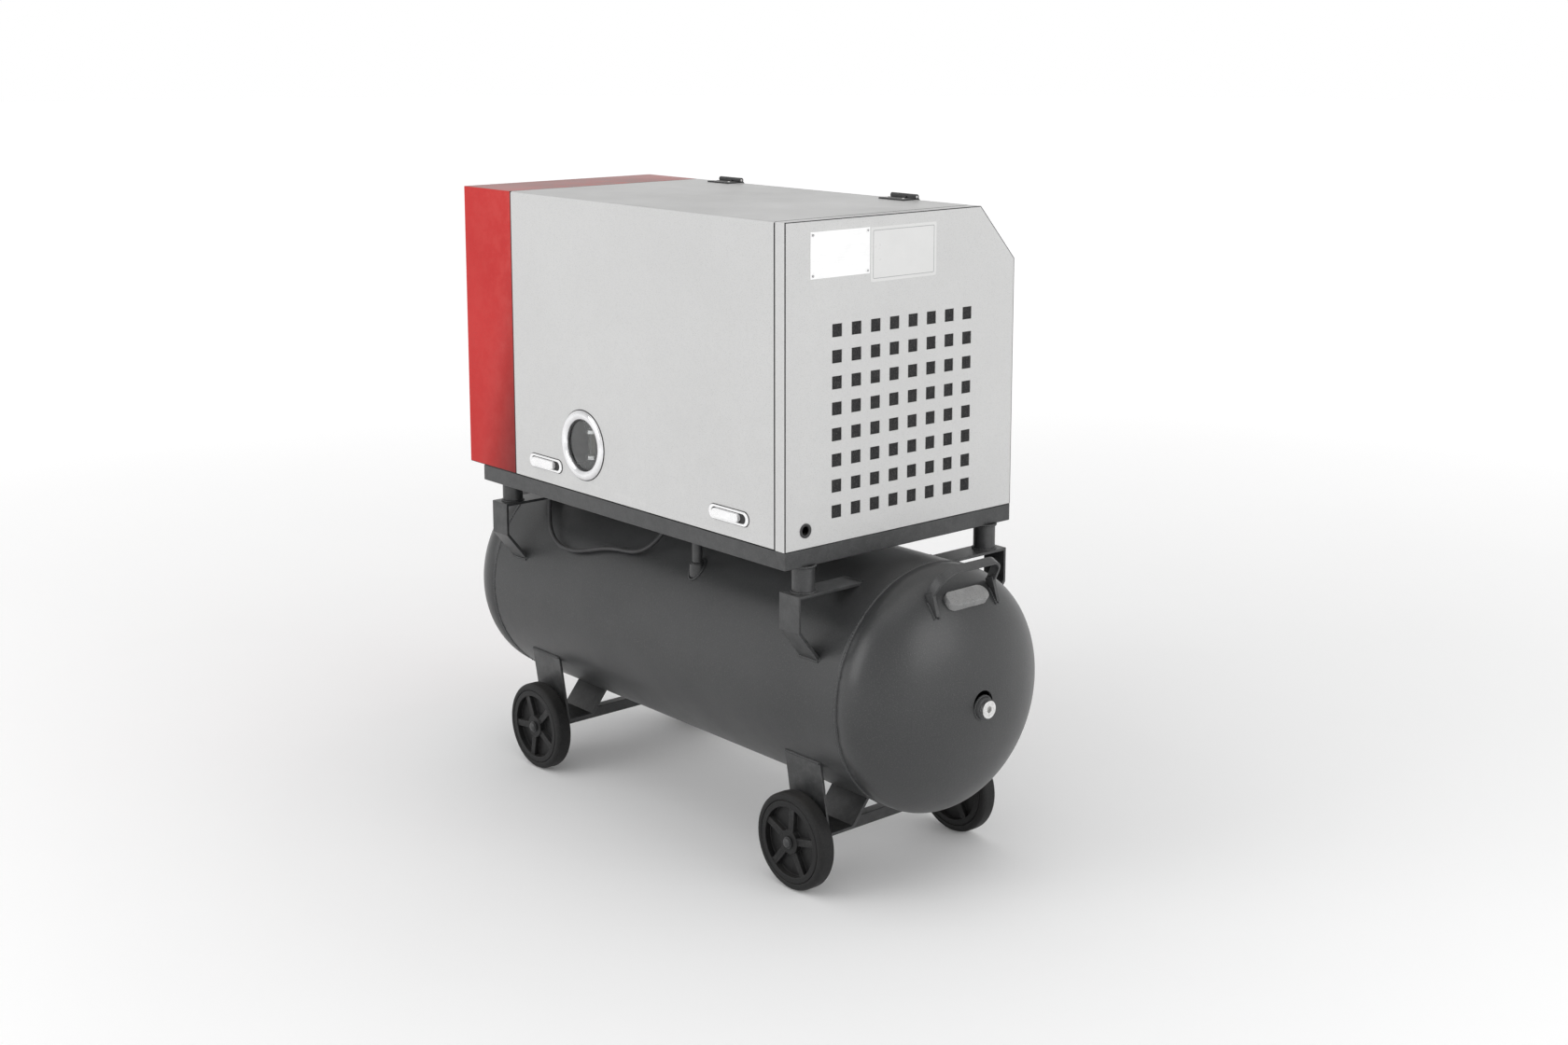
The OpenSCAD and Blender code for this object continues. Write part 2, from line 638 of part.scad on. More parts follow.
// L-shaped lid: the whole top and the near side in one bent sheet
module hood_2d() {
    y0 = -side_y;
    z0 = cab_z0 + seam;
    b = hood_bend;
    translate([y0, z0]) square([sheet, cab_z1 - b - z0]);
    translate([y0 + b, cab_z1 - sheet]) square([hood_rear_y - y0 - b, sheet]);
    translate([y0 + b, cab_z1 - b]) difference() {
        circle(r = b);
        circle(r = b - sheet);
        translate([0, -2 * b]) square(4 * b);
        translate([-2 * b, -4 * b]) square(4 * b);
    }
    translate([y0, z0]) square([14, sheet]);
}
module hood() color("lightgray") difference() {
    union() {
        along_x(hood_x0, hood_x1) hood_2d();
        for (x = [hood_x0, hood_x1 - sheet]) {
            block(x, x + sheet, -side_y, -side_y + 15, cab_z0 + seam, cab_z1 - hood_bend);
            block(x, x + sheet, -side_y + hood_bend, hood_rear_y, cab_z1 - 15, cab_z1);
        }
    }
    rod_y(window_x, -side_y - 1, -side_y + sheet + 1, window_z, glass_d + 2 * collar_t);
    for (x = latch_x) along_y(-side_y - 1, -side_y + sheet + 1) translate([x, latch_z])
        slot_2d(cup_l, cup_h);
}
module window_ring() color("silver") translate([window_x, -side_y, window_z]) rotate([90, 0, 0])
    rotate_extrude($fn = 96) polygon([
        [glass_d / 2, -10], [glass_d / 2 + collar_t, -10], [glass_d / 2 + collar_t, 0],
        [window_d / 2, 0], [window_d / 2, 2], [window_d / 2 - 3, 5], [window_d / 2 - 8, window_proud],
        [glass_d / 2 + 6, window_proud], [glass_d / 2 + 1, 4], [glass_d / 2, 2]
    ]);
module window_glass() color("skyblue") rod_y(window_x, -side_y + 3, -side_y + 3 + glass_t,
    window_z, glass_d);

// ---- Latches ----
module latch_bezels() color("silver") for (x = latch_x) difference() {
    union() {
        along_y(-side_y - bezel_t, -side_y) translate([x, latch_z]) slot_2d(latch_l, latch_h);
        along_y(-side_y, -side_y + cup_depth) translate([x, latch_z]) slot_2d(cup_l, cup_h);
    }
    along_y(-side_y - bezel_t - 1, -side_y + cup_depth - cup_wall) translate([x, latch_z])
        slot_2d(cup_l - 2 * cup_wall, cup_h - 2 * cup_wall);
    block(x + pivot_dx - arm_w / 2 - 2, x + pivot_dx + 30, -side_y, -side_y + cup_depth + 1,
        latch_z - arm_w / 2 - 1, latch_z + arm_w / 2 + 1);
    rod_z(x + pivot_dx, -side_y + pivot_in, latch_z - latch_h, latch_z + latch_h,
        latch_pin_d + 2 * fit);
}
module latch_bar(x) color("silver") {
    px = x + pivot_dx;
    py = -side_y + pivot_in;
    along_y(-side_y - latch_proud, -side_y + 4) translate([px - bar_r + bar_l / 2, latch_z])
        slot_2d(bar_l, bar_h);
    rod_z(px, py, latch_z - cup_h / 2, latch_z + cup_h / 2, latch_pin_d);
    block(px - arm_w / 2, px + arm_w / 2, -side_y, py + arm_reach,
        latch_z - arm_w / 2, latch_z + arm_w / 2);
    block(px - arm_w / 2, px + arm_w / 2, py + arm_reach - hook_t, py + arm_reach,
        latch_z - arm_w / 2 - hook_drop, latch_z);
}
module latch_bar_left() latch_bar(latch_x[0]);
module latch_bar_right() latch_bar(latch_x[1]);

// ---- Hinges ----
module hinge_fixed_leaves() color("black") for (x = hinge_x) {
    difference() {
        for (s = [-1, 1]) {
            rod_x(x + s * (knuckle + 0.5) - knuckle / 2, x + s * (knuckle + 0.5) + knuckle / 2,
                ridge_y, barrel_z, barrel_d);
            translate([x + s * (knuckle + 0.5), ridge_y, cab_z1]) rotate([-slope_a, 0, 0])
                translate([-knuckle / 2, 0, 0]) cube([knuckle, barrel_d / 2 + 3, leaf_t + 3]);
        }
        rod_x(x - hinge_l, x + hinge_l, ridge_y, barrel_z, hinge_pin_d);
    }
    translate([x, ridge_y, cab_z1]) rotate([-slope_a, 0, 0])
        translate([-hinge_l / 2, 7, 0]) cube([hinge_l, leaf_w - 5, leaf_t]);
}
module hinge_moving_leaves() color("black") for (x = hinge_x) {
    difference() {
        union() {
            rod_x(x - knuckle / 2, x + knuckle / 2, ridge_y, barrel_z, barrel_d);
            block(x - knuckle / 2, x + knuckle / 2, hood_rear_y - 3, ridge_y, cab_z1 + 0.5, barrel_z);
        }
        rod_x(x - hinge_l, x + hinge_l, ridge_y, barrel_z, hinge_pin_d + 2 * fit);
    }
    block(x - hinge_l / 2, x + hinge_l / 2, hood_rear_y - leaf_w, hood_rear_y - 2,
        cab_z1, cab_z1 + leaf_t);
}
module hinge_pins() color("silver") for (x = hinge_x)
    rod_x(x - hinge_l / 2, x + hinge_l / 2, ridge_y, barrel_z, hinge_pin_d);
module rating_plate() color("whitesmoke") {
    block(cab_x1, cab_x1 + 0.8, plate_y - plate_l / 2, plate_y + plate_l / 2,
        plate_z - plate_h / 2, plate_z + plate_h / 2);
    for (y = [-1, 1], z = [-1, 1])
        translate([0, plate_y + y * (plate_l / 2 - 8), plate_z + z * (plate_h / 2 - 8)]) {
            rod_x(cab_x1 - sheet - 1, cab_x1 + 0.8, 0, 0, rivet_d - 1.5);
            rod_x(cab_x1 + 0.5, cab_x1 + 2, 0, 0, rivet_d);
        }
}

// ---- Drive ----
module motor_body() color("royalblue") difference() {
    union() {
        rod_y(motor_x, motor_y0, motor_y1, motor_z, motor_d - 16);
        for (i = [0:35]) translate([motor_x, 0, motor_z]) rotate([0, i * 10, 0])
            block(-1.5, 1.5, motor_y0 + 30, motor_y1 - 30, motor_d / 2 - 10, motor_d / 2);
        for (y = [motor_y0, motor_y1 - 24]) rod_y(motor_x, y, y + 24, motor_z, motor_d);
        for (s = [-1, 1]) block(motor_x + s * 80 - 22, motor_x + s * 80 + 22,
            motor_y0 + 50, motor_y1 - 50, pan_z1, motor_z - 52);
        block(motor_x - 50, motor_x + 50, -100, 0, motor_z + motor_d / 2 - 12, motor_z + motor_d / 2 + 45);
    }
    rod_y(motor_x, motor_y0 + 10, motor_y1 + 1, motor_z, shaft_d + 2 * fit);
}
module grooved_pulley(d) difference() {
    rod_y(0, pulley_y0, pulley_y0 + pulley_w, 0, d);
    for (k = [0, 1]) difference() {
        rod_y(0, pulley_y0 + 4 + k * 16, pulley_y0 + 4 + k * 16 + belt_w, 0, d + 1);
        rod_y(0, pulley_y0, pulley_y0 + pulley_w, 0, d - 2 * belt_t);
    }
}
module motor_shaft() color("silver") {
    rod_y(motor_x, motor_y0 + 11, pulley_y0 + pulley_w + 4, motor_z, shaft_d);
    translate([motor_x, 0, motor_z]) grooved_pulley(motor_pulley_d);
}
module airend() color("silver") difference() {
    union() {
        rod_y(airend_x, airend_y0, airend_y1, airend_z, 2 * airend_r);
        rod_y(airend_x - 62, airend_y0, airend_y1 - 20, airend_z - 8, 2 * airend_lobe);
        for (y = [airend_y0 + 10, airend_y1 - 60]) block(airend_x - 90, airend_x + 40, y, y + 30,
            pan_z1, airend_z);
        rod_z(airend_x, intake_y, airend_z, airend_z + airend_r + 30, 84);
    }
    rod_y(airend_x, 0, airend_y1 + 1, airend_z, airend_shaft_d + 2 * fit);
}
module airend_shaft() color("silver") {
    rod_y(airend_x, 1, pulley_y0 + pulley_w + 4, airend_z, airend_shaft_d);
    translate([airend_x, 0, airend_z]) grooved_pulley(airend_pulley_d);
}
// Open belt round both pulleys: two arcs and two straight runs
belt_dx = motor_x - airend_x;
belt_dz = motor_z - airend_z;
belt_c = sqrt(belt_dx * belt_dx + belt_dz * belt_dz);
belt_r1 = motor_pulley_d / 2 - belt_t + gap;
belt_r2 = airend_pulley_d / 2 - belt_t + gap;
belt_tilt = asin((belt_r1 - belt_r2) / belt_c);
function belt_arc(r, a0, a1) = [for (i = [0:20]) r * [cos(a0 + i * (a1 - a0) / 20), sin(a0 + i * (a1 - a0) / 20)]];
function belt_outline(t) = concat(
    belt_arc(belt_r2 + t, 90 + belt_tilt, 270 - belt_tilt),
    [for (q = belt_arc(belt_r1 + t, -90 - belt_tilt, 90 + belt_tilt)) q + [belt_c, 0]]
);
module belt_2d() difference() {
    polygon(belt_outline(belt_t));
    polygon(belt_outline(0));
}
module drive_belts() color("black") for (k = [0, 1])
    along_y(pulley_y0 + 4 + gap + k * 16, pulley_y0 + 4 - gap + belt_w + k * 16)
        translate([airend_x, airend_z]) rotate(atan2(belt_dz, belt_dx)) belt_2d();

module separator_tank() color("dimgray") {
    rod_z(sep_x, sep_y, pan_z1 + foot_h, sep_z1, separator_d);
    rod_z(sep_x, sep_y, sep_z1, sep_z1 + 16, separator_d + 20);
    rod_z(sep_x, sep_y, sep_z1 + 16, sep_z1 + 56, 90);
    for (a = [45:90:315]) translate([sep_x, sep_y, 0]) rotate([0, 0, a])
        block(separator_d / 2 - 26, separator_d / 2 + 6, -10, 10, pan_z1, pan_z1 + foot_h + 10);
    for (s = [-1, 1]) rod_y(sight_x, sight_y - 11, sep_y, sight_z + s * sight_l / 2, 24);
}
sight_y = sep_y - separator_d / 2 - 14;
module sight_tube() color("lightyellow")
    rod_z(sight_x, sight_y, sight_z - sight_l / 2 + 12, sight_z + sight_l / 2 - 12, sight_d);
module oil_filters() color("white") for (x = [sep_x - 195, sep_x - 90]) {
    rod_z(x, 60, cab_z0 + 300, cab_z0 + 300 + filter_h, filter_d);
    rod_z(x, 60, pan_z1, cab_z0 + 300, 34);
}
module intake_filter() color("black") {
    z = airend_z + airend_r + 30;
    rod_z(airend_x, intake_y, z, z + 26, 110);
    rod_z(airend_x, intake_y, z + 26, z + 170, 170);
}
module cooler() color("silver") {
    x0 = fan_x - cooler_l / 2;
    z0 = fan_z - cooler_h / 2 + 8;
    difference() {
        union() {
            block(x0, x0 + cooler_l, cooler_y, cooler_y + cooler_t, z0, z0 + cooler_h);
            block(shroud_x0, shroud_x0 + shroud_w, fan_y - 8, cooler_y,
                fan_z - shroud_w / 2, fan_z + shroud_w / 2);
        }
        rod_y(fan_x, fan_y - 9, cooler_y - 2, fan_z, fan_d + 12);
    }
    for (a = [45:90:315]) translate([fan_x, 0, fan_z]) rotate([0, a, 0])
        block(30, fan_d / 2 + 20, fan_y - 14, fan_y - 5, -6, 6);
    difference() {
        rod_y(fan_x, fan_y - 70, fan_y - 8, fan_z, 80);
        rod_y(fan_x, fan_y - 40, fan_y, fan_z, 12 + 2 * fit);
    }
    for (s = [-1, 1]) block(fan_x + s * (cooler_l / 2 - 20) - 15, fan_x + s * (cooler_l / 2 - 20) + 15,
        cooler_y + 10, cooler_y + cooler_t, pan_z1, z0);
}
module fan() color("white") {
    rod_y(fan_x, fan_y - 38, fan_y + 22, fan_z, 12);
    rod_y(fan_x, fan_y, fan_y + 22, fan_z, 54);
    for (i = [0:6]) translate([fan_x, fan_y + 11, fan_z]) rotate([0, i * 360 / 7, 0])
        rotate([32, 0, 0]) translate([22, -1, -17]) cube([fan_d / 2 - 26, 2, 34]);
}
module electrics_box() color("silver") {
    block(front_x1 - 12, front_x1 - 3, -230, 190, cab_z0 + 80, cab_z1 - 95);
    for (j = [0:3]) block(front_x1 - 80, front_x1 - 12, -200 + j * 62, -152 + j * 62,
        cab_z0 + 380, cab_z0 + 470);
    for (j = [0:1]) block(front_x1 - 90, front_x1 - 12, -200 + j * 150, -80 + j * 150,
        cab_z0 + 180, cab_z0 + 320);
}
module control_panel() color("dimgray") block(cab_x0 - 3, cab_x0, -80, 90, stop_z - 55, stop_z + 55);
module stop_button() color("red") {
    rod_x(cab_x0 - 8, cab_x0 + 30, stop_y, stop_z, 23 - 2 * gap);
    rod_x(cab_x0 - 24, cab_x0 - 8, stop_y, stop_z, 38);
}

tank_shell();
tank_head_right();
tank_head_left();
lifting_handles();
plate_pad();
end_plugs();
wheel_brackets();
axle_beams();
axles();
rim_right_near();
tyre_right_near();
rim_right_far();
tyre_right_far();
rim_left_near();
tyre_left_near();
rim_left_far();
tyre_left_far();
saddle_straps();
posts();
base_frame();
floor_pan();
delivery_pipe();
control_hose();
hose_fittings();
drain_body();
drain_knob();
outlet_valve();
outlet_lever();
safety_valve();
end_hoop();
bulkhead();
end_panel();
filter_mat();
cable_grommet();
far_panel();
front_cover();
hood();
window_ring();
window_glass();
latch_bezels();
latch_bar_left();
latch_bar_right();
hinge_fixed_leaves();
hinge_moving_leaves();
hinge_pins();
rating_plate();
motor_body();
motor_shaft();
airend();
airend_shaft();
drive_belts();
separator_tank();
sight_tube();
oil_filters();
intake_filter();
cooler();
fan();
electrics_box();
control_panel();
stop_button();
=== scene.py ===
"""Wheeled screw air compressor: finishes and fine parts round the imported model.

Metres. X runs along the air receiver, -Y is the side that opens, +Z is up.
"""

import math

import bmesh
import bpy
from mathutils import Matrix, Vector


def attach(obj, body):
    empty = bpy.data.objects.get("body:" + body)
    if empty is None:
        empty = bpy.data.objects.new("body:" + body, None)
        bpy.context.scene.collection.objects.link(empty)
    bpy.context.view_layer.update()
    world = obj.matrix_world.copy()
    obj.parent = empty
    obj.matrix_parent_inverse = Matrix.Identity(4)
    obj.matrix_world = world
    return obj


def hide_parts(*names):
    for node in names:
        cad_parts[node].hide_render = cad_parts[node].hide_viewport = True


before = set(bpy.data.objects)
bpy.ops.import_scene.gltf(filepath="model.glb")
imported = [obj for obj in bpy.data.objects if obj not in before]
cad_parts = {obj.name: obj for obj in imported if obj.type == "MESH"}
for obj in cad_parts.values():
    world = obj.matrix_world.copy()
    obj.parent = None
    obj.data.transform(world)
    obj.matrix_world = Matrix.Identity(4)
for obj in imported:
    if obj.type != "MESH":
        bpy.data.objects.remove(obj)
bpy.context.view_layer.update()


# ---- Camera ----
# A normal lens at about the cabinet's height, off the corner between the grille end
# and the side that opens. The small shift keeps the uprights nearly parallel.
turn, dip = math.radians(49.07), math.radians(9.70)
gaze = Vector((-math.sin(turn) * math.cos(dip), math.cos(turn) * math.cos(dip), -math.sin(dip)))
optics = bpy.data.cameras.new("camera")
optics.lens = 47.34
optics.sensor_width = 36
optics.shift_y = -0.1
camera = bpy.data.objects.new("camera", optics)
camera.location = (3.411, -2.823, 1.740)
camera.rotation_mode = "QUATERNION"
camera.rotation_quaternion = gaze.to_track_quat("-Z", "Y")
bpy.context.scene.collection.objects.link(camera)
bpy.context.scene.camera = camera


# ---- Control hose ----
# A rubber hose that carries control pressure past the receiver's shoulder. It leaves
# one fitting under the floor, sags under its weight and goes up into the other.
def add(tree, kind, values=None, **fields):
    """Adds a node. Fields are its own settings, values its sockets: plain, or another node's output."""
    node = tree.nodes.new(kind)
    for field, value in fields.items():
        setattr(node, field, value)
    for socket, value in (values or {}).items():
        if isinstance(value, bpy.types.NodeSocket):
            tree.links.new(value, node.inputs[socket])
        else:
            node.inputs[socket].default_value = value
    return node


def new_group(name, inputs, outputs):
    """A shader node group with these (name, kind, value) inputs and (name, kind) outputs.

    Returns the tree, the sockets that bring its inputs in and the sockets that take its outputs.
    """
    tree = bpy.data.node_groups.new(name, "ShaderNodeTree")
    for label, kind, value in inputs:
        tree.interface.new_socket(label, in_out="INPUT", socket_type="NodeSocket" + kind).default_value = value
    for label, kind in outputs:
        tree.interface.new_socket(label, in_out="OUTPUT", socket_type="NodeSocket" + kind)
    return tree, add(tree, "NodeGroupInput").outputs, add(tree, "NodeGroupOutput").inputs


def mix(tree, share, first, second):
    """The colour between first and second, at share."""
    return add(tree, "ShaderNodeMix", {0: share, 6: first, 7: second}, data_type="RGBA").outputs[2]


def calc(tree, operation, *values):
    """A sum on one to three values."""
    return add(tree, "ShaderNodeMath", dict(enumerate(values)), operation=operation).outputs[0]


def noise(tree, place, scale, detail, roughness=0.5):
    """A cloudy value between 0 and 1."""
    return add(tree, "ShaderNodeTexNoise", {"Vector": place, "Scale": scale, "Detail": detail,
                                            "Roughness": roughness}).outputs["Fac"]


def spread(tree, value, low, high, to_low, to_high):
    """Value's range low to high, stretched to to_low to to_high and held there."""
    return add(tree, "ShaderNodeMapRange",
               {"Value": value, "From Min": low, "From Max": high, "To Min": to_low, "To Max": to_high}).outputs[0]


def coat_group():
    """Paint, rubber or plastic: slow mottling, speckle, a tint on upward faces and a fine skin. The tint is dust on
    most finishes; on the cabinet it is laid on heavily as painted shade on the grey top and painted glare on the red
    one.
    """
    tree, given, out = new_group(
        "coat",
        [("Colour", "Color", (0.5, 0.5, 0.5, 1)), ("Shade", "Color", (0.45, 0.45, 0.45, 1)),
         ("Mottle", "Float", 5.0), ("Speckle", "Color", (0.4, 0.4, 0.4, 1)), ("Speckle size", "Float", 900.0),
         ("Dust and top light", "Color", (0.4, 0.38, 0.35, 1)), ("Dust and top light amount", "Float", 0.1), ("Skin", "Float", 350.0),
         ("Smooth", "Float", 0.35), ("Rough", "Float", 0.5)],
        [("Colour", "Color"), ("Roughness", "Float"), ("Height", "Float")])
    place = add(tree, "ShaderNodeTexCoord").outputs
    slow = noise(tree, place["Object"], given["Mottle"], 4.0, 0.6)
    fine = noise(tree, place["Object"], given["Skin"], 2.0)
    grit = noise(tree, place["Object"], given["Speckle size"], 1.0)
    upward = add(tree, "ShaderNodeSeparateXYZ", {0: place["Normal"]}).outputs["Z"]
    level, patchy = spread(tree, upward, 0.62, 1.0, 0.0, 1.0), spread(tree, slow, 0.32, 0.70, 0.72, 1.0)
    dust_and_top_light_share = calc(tree, "MULTIPLY", calc(tree, "MULTIPLY", level, patchy), given["Dust and top light amount"])
    colour = mix(tree, spread(tree, slow, 0.3, 0.7, 0.0, 1.0), given["Colour"], given["Shade"])
    colour = mix(tree, spread(tree, grit, 0.56, 0.7, 0.0, 1.0), colour, given["Speckle"])
    tree.links.new(mix(tree, dust_and_top_light_share, colour, given["Dust and top light"]), out["Colour"])
    rough = spread(tree, slow, 0.3, 0.7, given["Smooth"], given["Rough"])
    tree.links.new(rough, out["Roughness"])
    tree.links.new(fine, out["Height"])
    return tree


def rub_group():
    """Edges rubbed bright or pale by hands and handling, broken up so that the line is never even."""
    tree, given, out = new_group(
        "edge rub",
        [("Colour", "Color", (0.5, 0.5, 0.5, 1)), ("Bare", "Color", (0.6, 0.6, 0.6, 1)),
         ("Edge", "Float", 0.0), ("Amount", "Float", 0.5), ("Patch", "Float", 60.0)],
        [("Colour", "Color")])
    patch = noise(tree, add(tree, "ShaderNodeTexCoord").outputs["Object"], given["Patch"], 5.0, 0.7)
    worn = calc(tree, "MULTIPLY", spread(tree, patch, 0.42, 0.62, 0.1, 1.0), given["Edge"])
    worn = calc(tree, "MULTIPLY", worn, given["Amount"])
    tree.links.new(mix(tree, worn, given["Colour"], given["Bare"]), out["Colour"])
    return tree


coat_tree = coat_group()
rub_tree = rub_group()


def tone(value):
    """A socket's colour, from one grey value or from red, green and blue."""
    return (*(value if isinstance(value, tuple) else (value,) * 3), 1)


def new_finish(name):
    """An empty finish, its tree and its Principled node."""
    finish = bpy.data.materials.new(name)
    finish.use_nodes = True
    return finish, finish.node_tree, finish.node_tree.nodes["Principled BSDF"]


def lay_on(tree, surface, group, colour, relief, strength, plain):
    """Joins a finish group to the Principled node. Plain holds sockets that stay constant."""
    bump = add(tree, "ShaderNodeBump", {"Height": group.outputs["Height"], "Distance": relief, "Strength": strength})
    tree.links.new(colour, surface.inputs["Base Color"])
    tree.links.new(group.outputs["Roughness"], surface.inputs["Roughness"])
    tree.links.new(bump.outputs[0], surface.inputs["Normal"])
    for socket, value in plain.items():
        surface.inputs[socket].default_value = value


def coated(name, relief, colour, shade, mottle, speckle, speckle_size, dust_and_top_light, dust_and_top_light_amount, skin, rough, rub=None,
           plain=None):
    """A coated or moulded finish. Relief is its skin's depth, rough its smoothest and roughest.

    Rub is how its edges wear: the bare colour, how much shows and how finely it is broken up.
    """
    finish, tree, surface = new_finish(name)
    coat = add(tree, "ShaderNodeGroup", {
        "Colour": tone(colour), "Shade": tone(shade), "Mottle": mottle, "Speckle": tone(speckle),
        "Speckle size": speckle_size, "Dust and top light": tone(dust_and_top_light), "Dust and top light amount": dust_and_top_light_amount, "Skin": skin,
        "Smooth": rough[0], "Rough": rough[1]}, node_tree=coat_tree)
    shown = coat.outputs["Colour"]
    if rub:
        edge = add(tree, "ShaderNodeAttribute", attribute_name="edge").outputs["Fac"]
        shown = add(tree, "ShaderNodeGroup", {"Colour": shown, "Edge": edge, "Bare": tone(rub[0]), "Amount": rub[1],
                                              "Patch": rub[2]}, node_tree=rub_tree).outputs["Colour"]
    lay_on(tree, surface, coat, shown, relief, 0.6, plain or {})
    return finish


def solid(name, points, faces, finish, smooth=True):
    """A mesh object with its normals facing outwards."""
    mesh = bpy.data.meshes.new(name)
    mesh.from_pydata([tuple(p) for p in points], [], faces)
    shape = bmesh.new()
    shape.from_mesh(mesh)
    bmesh.ops.remove_doubles(shape, verts=shape.verts, dist=1e-7)
    bmesh.ops.recalc_face_normals(shape, faces=shape.faces)
    shape.to_mesh(mesh)
    shape.free()
    for face in mesh.polygons:
        face.use_smooth = smooth
    mesh.materials.append(finish)
    piece = bpy.data.objects.new(name, mesh)
    bpy.context.scene.collection.objects.link(piece)
    return piece


def smooth_run(knots, step):
    """Points about step apart on a smooth curve through the knots."""
    knots = [Vector(k) for k in knots]
    ends = [2 * knots[0] - knots[1]] + knots + [2 * knots[-1] - knots[-2]]
    run = []
    for before, a, b, after in zip(ends, ends[1:], ends[2:], ends[3:]):
        count = max(2, round((b - a).length / step))
        for i in range(count):
            t = i / count
            run.append(0.5 * (2 * a + (b - before) * t + (2 * before - 5 * a + 4 * b - after) * t * t
                              + (3 * a - before - 3 * b + after) * t ** 3))
    return run + [knots[-1]]


def tube(name, run, radius, finish):
    """A round tube along run with closed ends, its UV map counting metres along and round it."""
    sides = 16
    points, faces, lengths, side, travelled = [], [], [], None, 0.0
    for i, centre in enumerate(run):
        ahead = (run[min(i + 1, len(run) - 1)] - run[max(i - 1, 0)]).normalized()
        side = ahead.orthogonal() if side is None else side - ahead * side.dot(ahead)
        side.normalize()
        across = ahead.cross(side)
        travelled += (centre - run[i - 1]).length if i else 0.0
        lengths.append(travelled)
        for k in range(sides):
            angle = 2 * math.pi * k / sides
            points.append(centre + radius * (math.cos(angle) * side + math.sin(angle) * across))
    for i in range(len(run) - 1):
        for k in range(sides):
            j = (k + 1) % sides
            faces.append((i * sides + k, (i + 1) * sides + k, (i + 1) * sides + j, i * sides + j))
    faces += [tuple(range(sides)), tuple(reversed(range((len(run) - 1) * sides, len(run) * sides)))]
    piece = solid(name, points, faces, finish)
    chart = piece.data.uv_layers.new(name="along")
    for corner in piece.data.loops:
        ring, k = divmod(corner.vertex_index, sides)
        chart.data[corner.index].uv = (lengths[ring], k / sides * 2 * math.pi * radius)
    return piece


hose_rubber = coated(
    "hose_rubber", 0.0002, colour=(0.03, 0.03, 0.032), shade=(0.02, 0.02, 0.021), mottle=25.0, speckle=0.05,
    speckle_size=700.0, dust_and_top_light=(0.2, 0.19, 0.18), dust_and_top_light_amount=0.25, skin=1400.0, rough=(0.38, 0.58))
hose_knots = [
    (-0.441, -0.196, 0.679), (-0.441, -0.196, 0.664), (-0.437, -0.200, 0.634), (-0.426, -0.208, 0.606),
    (-0.408, -0.219, 0.582), (-0.386, -0.225, 0.562), (-0.358, -0.228, 0.550), (-0.326, -0.227, 0.546),
    (-0.294, -0.224, 0.548), (-0.262, -0.219, 0.555), (-0.228, -0.213, 0.564), (-0.194, -0.209, 0.571),
    (-0.160, -0.207, 0.575), (-0.128, -0.205, 0.577), (-0.100, -0.201, 0.582), (-0.078, -0.193, 0.592),
    (-0.062, -0.182, 0.608), (-0.050, -0.170, 0.628), (-0.041, -0.160, 0.650), (-0.038, -0.156, 0.666),
    (-0.038, -0.156, 0.679)]
hose_d = 0.0095
hose_run = smooth_run(hose_knots, 0.006)
hose = tube("control_hose_rubber", hose_run, hose_d / 2, hose_rubber)
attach(hose, "root")
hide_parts("control_hose")


# ---- Air receiver ----
# A rolled steel shell with two pressed dished heads, butt welded all round and painted
# satin black over the whole weldment. The heads stop at a threaded socket.
tank_black = coated(
    "tank_black", 0.0004, colour=(0.03, 0.031, 0.032), shade=(0.023, 0.024, 0.025), mottle=4.0, speckle=0.045,
    speckle_size=520.0, dust_and_top_light=(0.16, 0.155, 0.15), dust_and_top_light_amount=0.16, skin=260.0, rough=(0.34, 0.46),
    rub=(0.12, 0.5, 45.0), plain={"Coat Weight": 0.12, "Coat Roughness": 0.22})
tank_r, tank_z, seam_x, dish_x, dish_depth = 0.253, 0.410, 0.597, 0.622, 0.128


def spun(name, profile, finish, centre, axis, steps=96, closed=False):
    """A turned part. The profile is (radius, distance along axis); radius 0 closes it in a pole."""
    along = Vector(axis).normalized()
    side = along.orthogonal().normalized()
    across = along.cross(side)
    rings, points, faces = [], [], []
    for r, h in profile:
        if r == 0:
            rings.append([len(points)])
            points.append(Vector(centre) + h * along)
            continue
        rings.append(list(range(len(points), len(points) + steps)))
        for k in range(steps):
            a = 2 * math.pi * k / steps
            points.append(Vector(centre) + h * along + r * (math.cos(a) * side + math.sin(a) * across))
    for low, high in zip(rings, rings[1:] + (rings[:1] if closed else [])):
        for k in range(steps):
            j = (k + 1) % steps
            if len(low) > 1 and len(high) > 1:
                faces.append((low[k], low[j], high[j], high[k]))
            elif len(low) > 1:
                faces.append((low[k], low[j], high[0]))
            elif len(high) > 1:
                faces.append((low[0], high[j], high[k]))
    return solid(name, points, faces, finish)


def sharpen(piece, degrees):
    """Keeps edges steeper than this crisp while the rest of the piece shades smooth."""
    piece.data.set_sharp_from_angle(angle=math.radians(degrees))
    return piece


shell = spun("receiver_shell", [(tank_r - 0.004, -seam_x), (tank_r - 0.0012, -seam_x), (tank_r, -seam_x + 0.0012)]
             + [(tank_r, x * 0.01) for x in range(-59, 60)]
             + [(tank_r, seam_x - 0.0012), (tank_r - 0.0012, seam_x), (tank_r - 0.004, seam_x)],
             tank_black, (0, 0, tank_z), (1, 0, 0), steps=160, closed=True)
sharpen(shell, 50)
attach(shell, "root")
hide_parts("tank_shell")

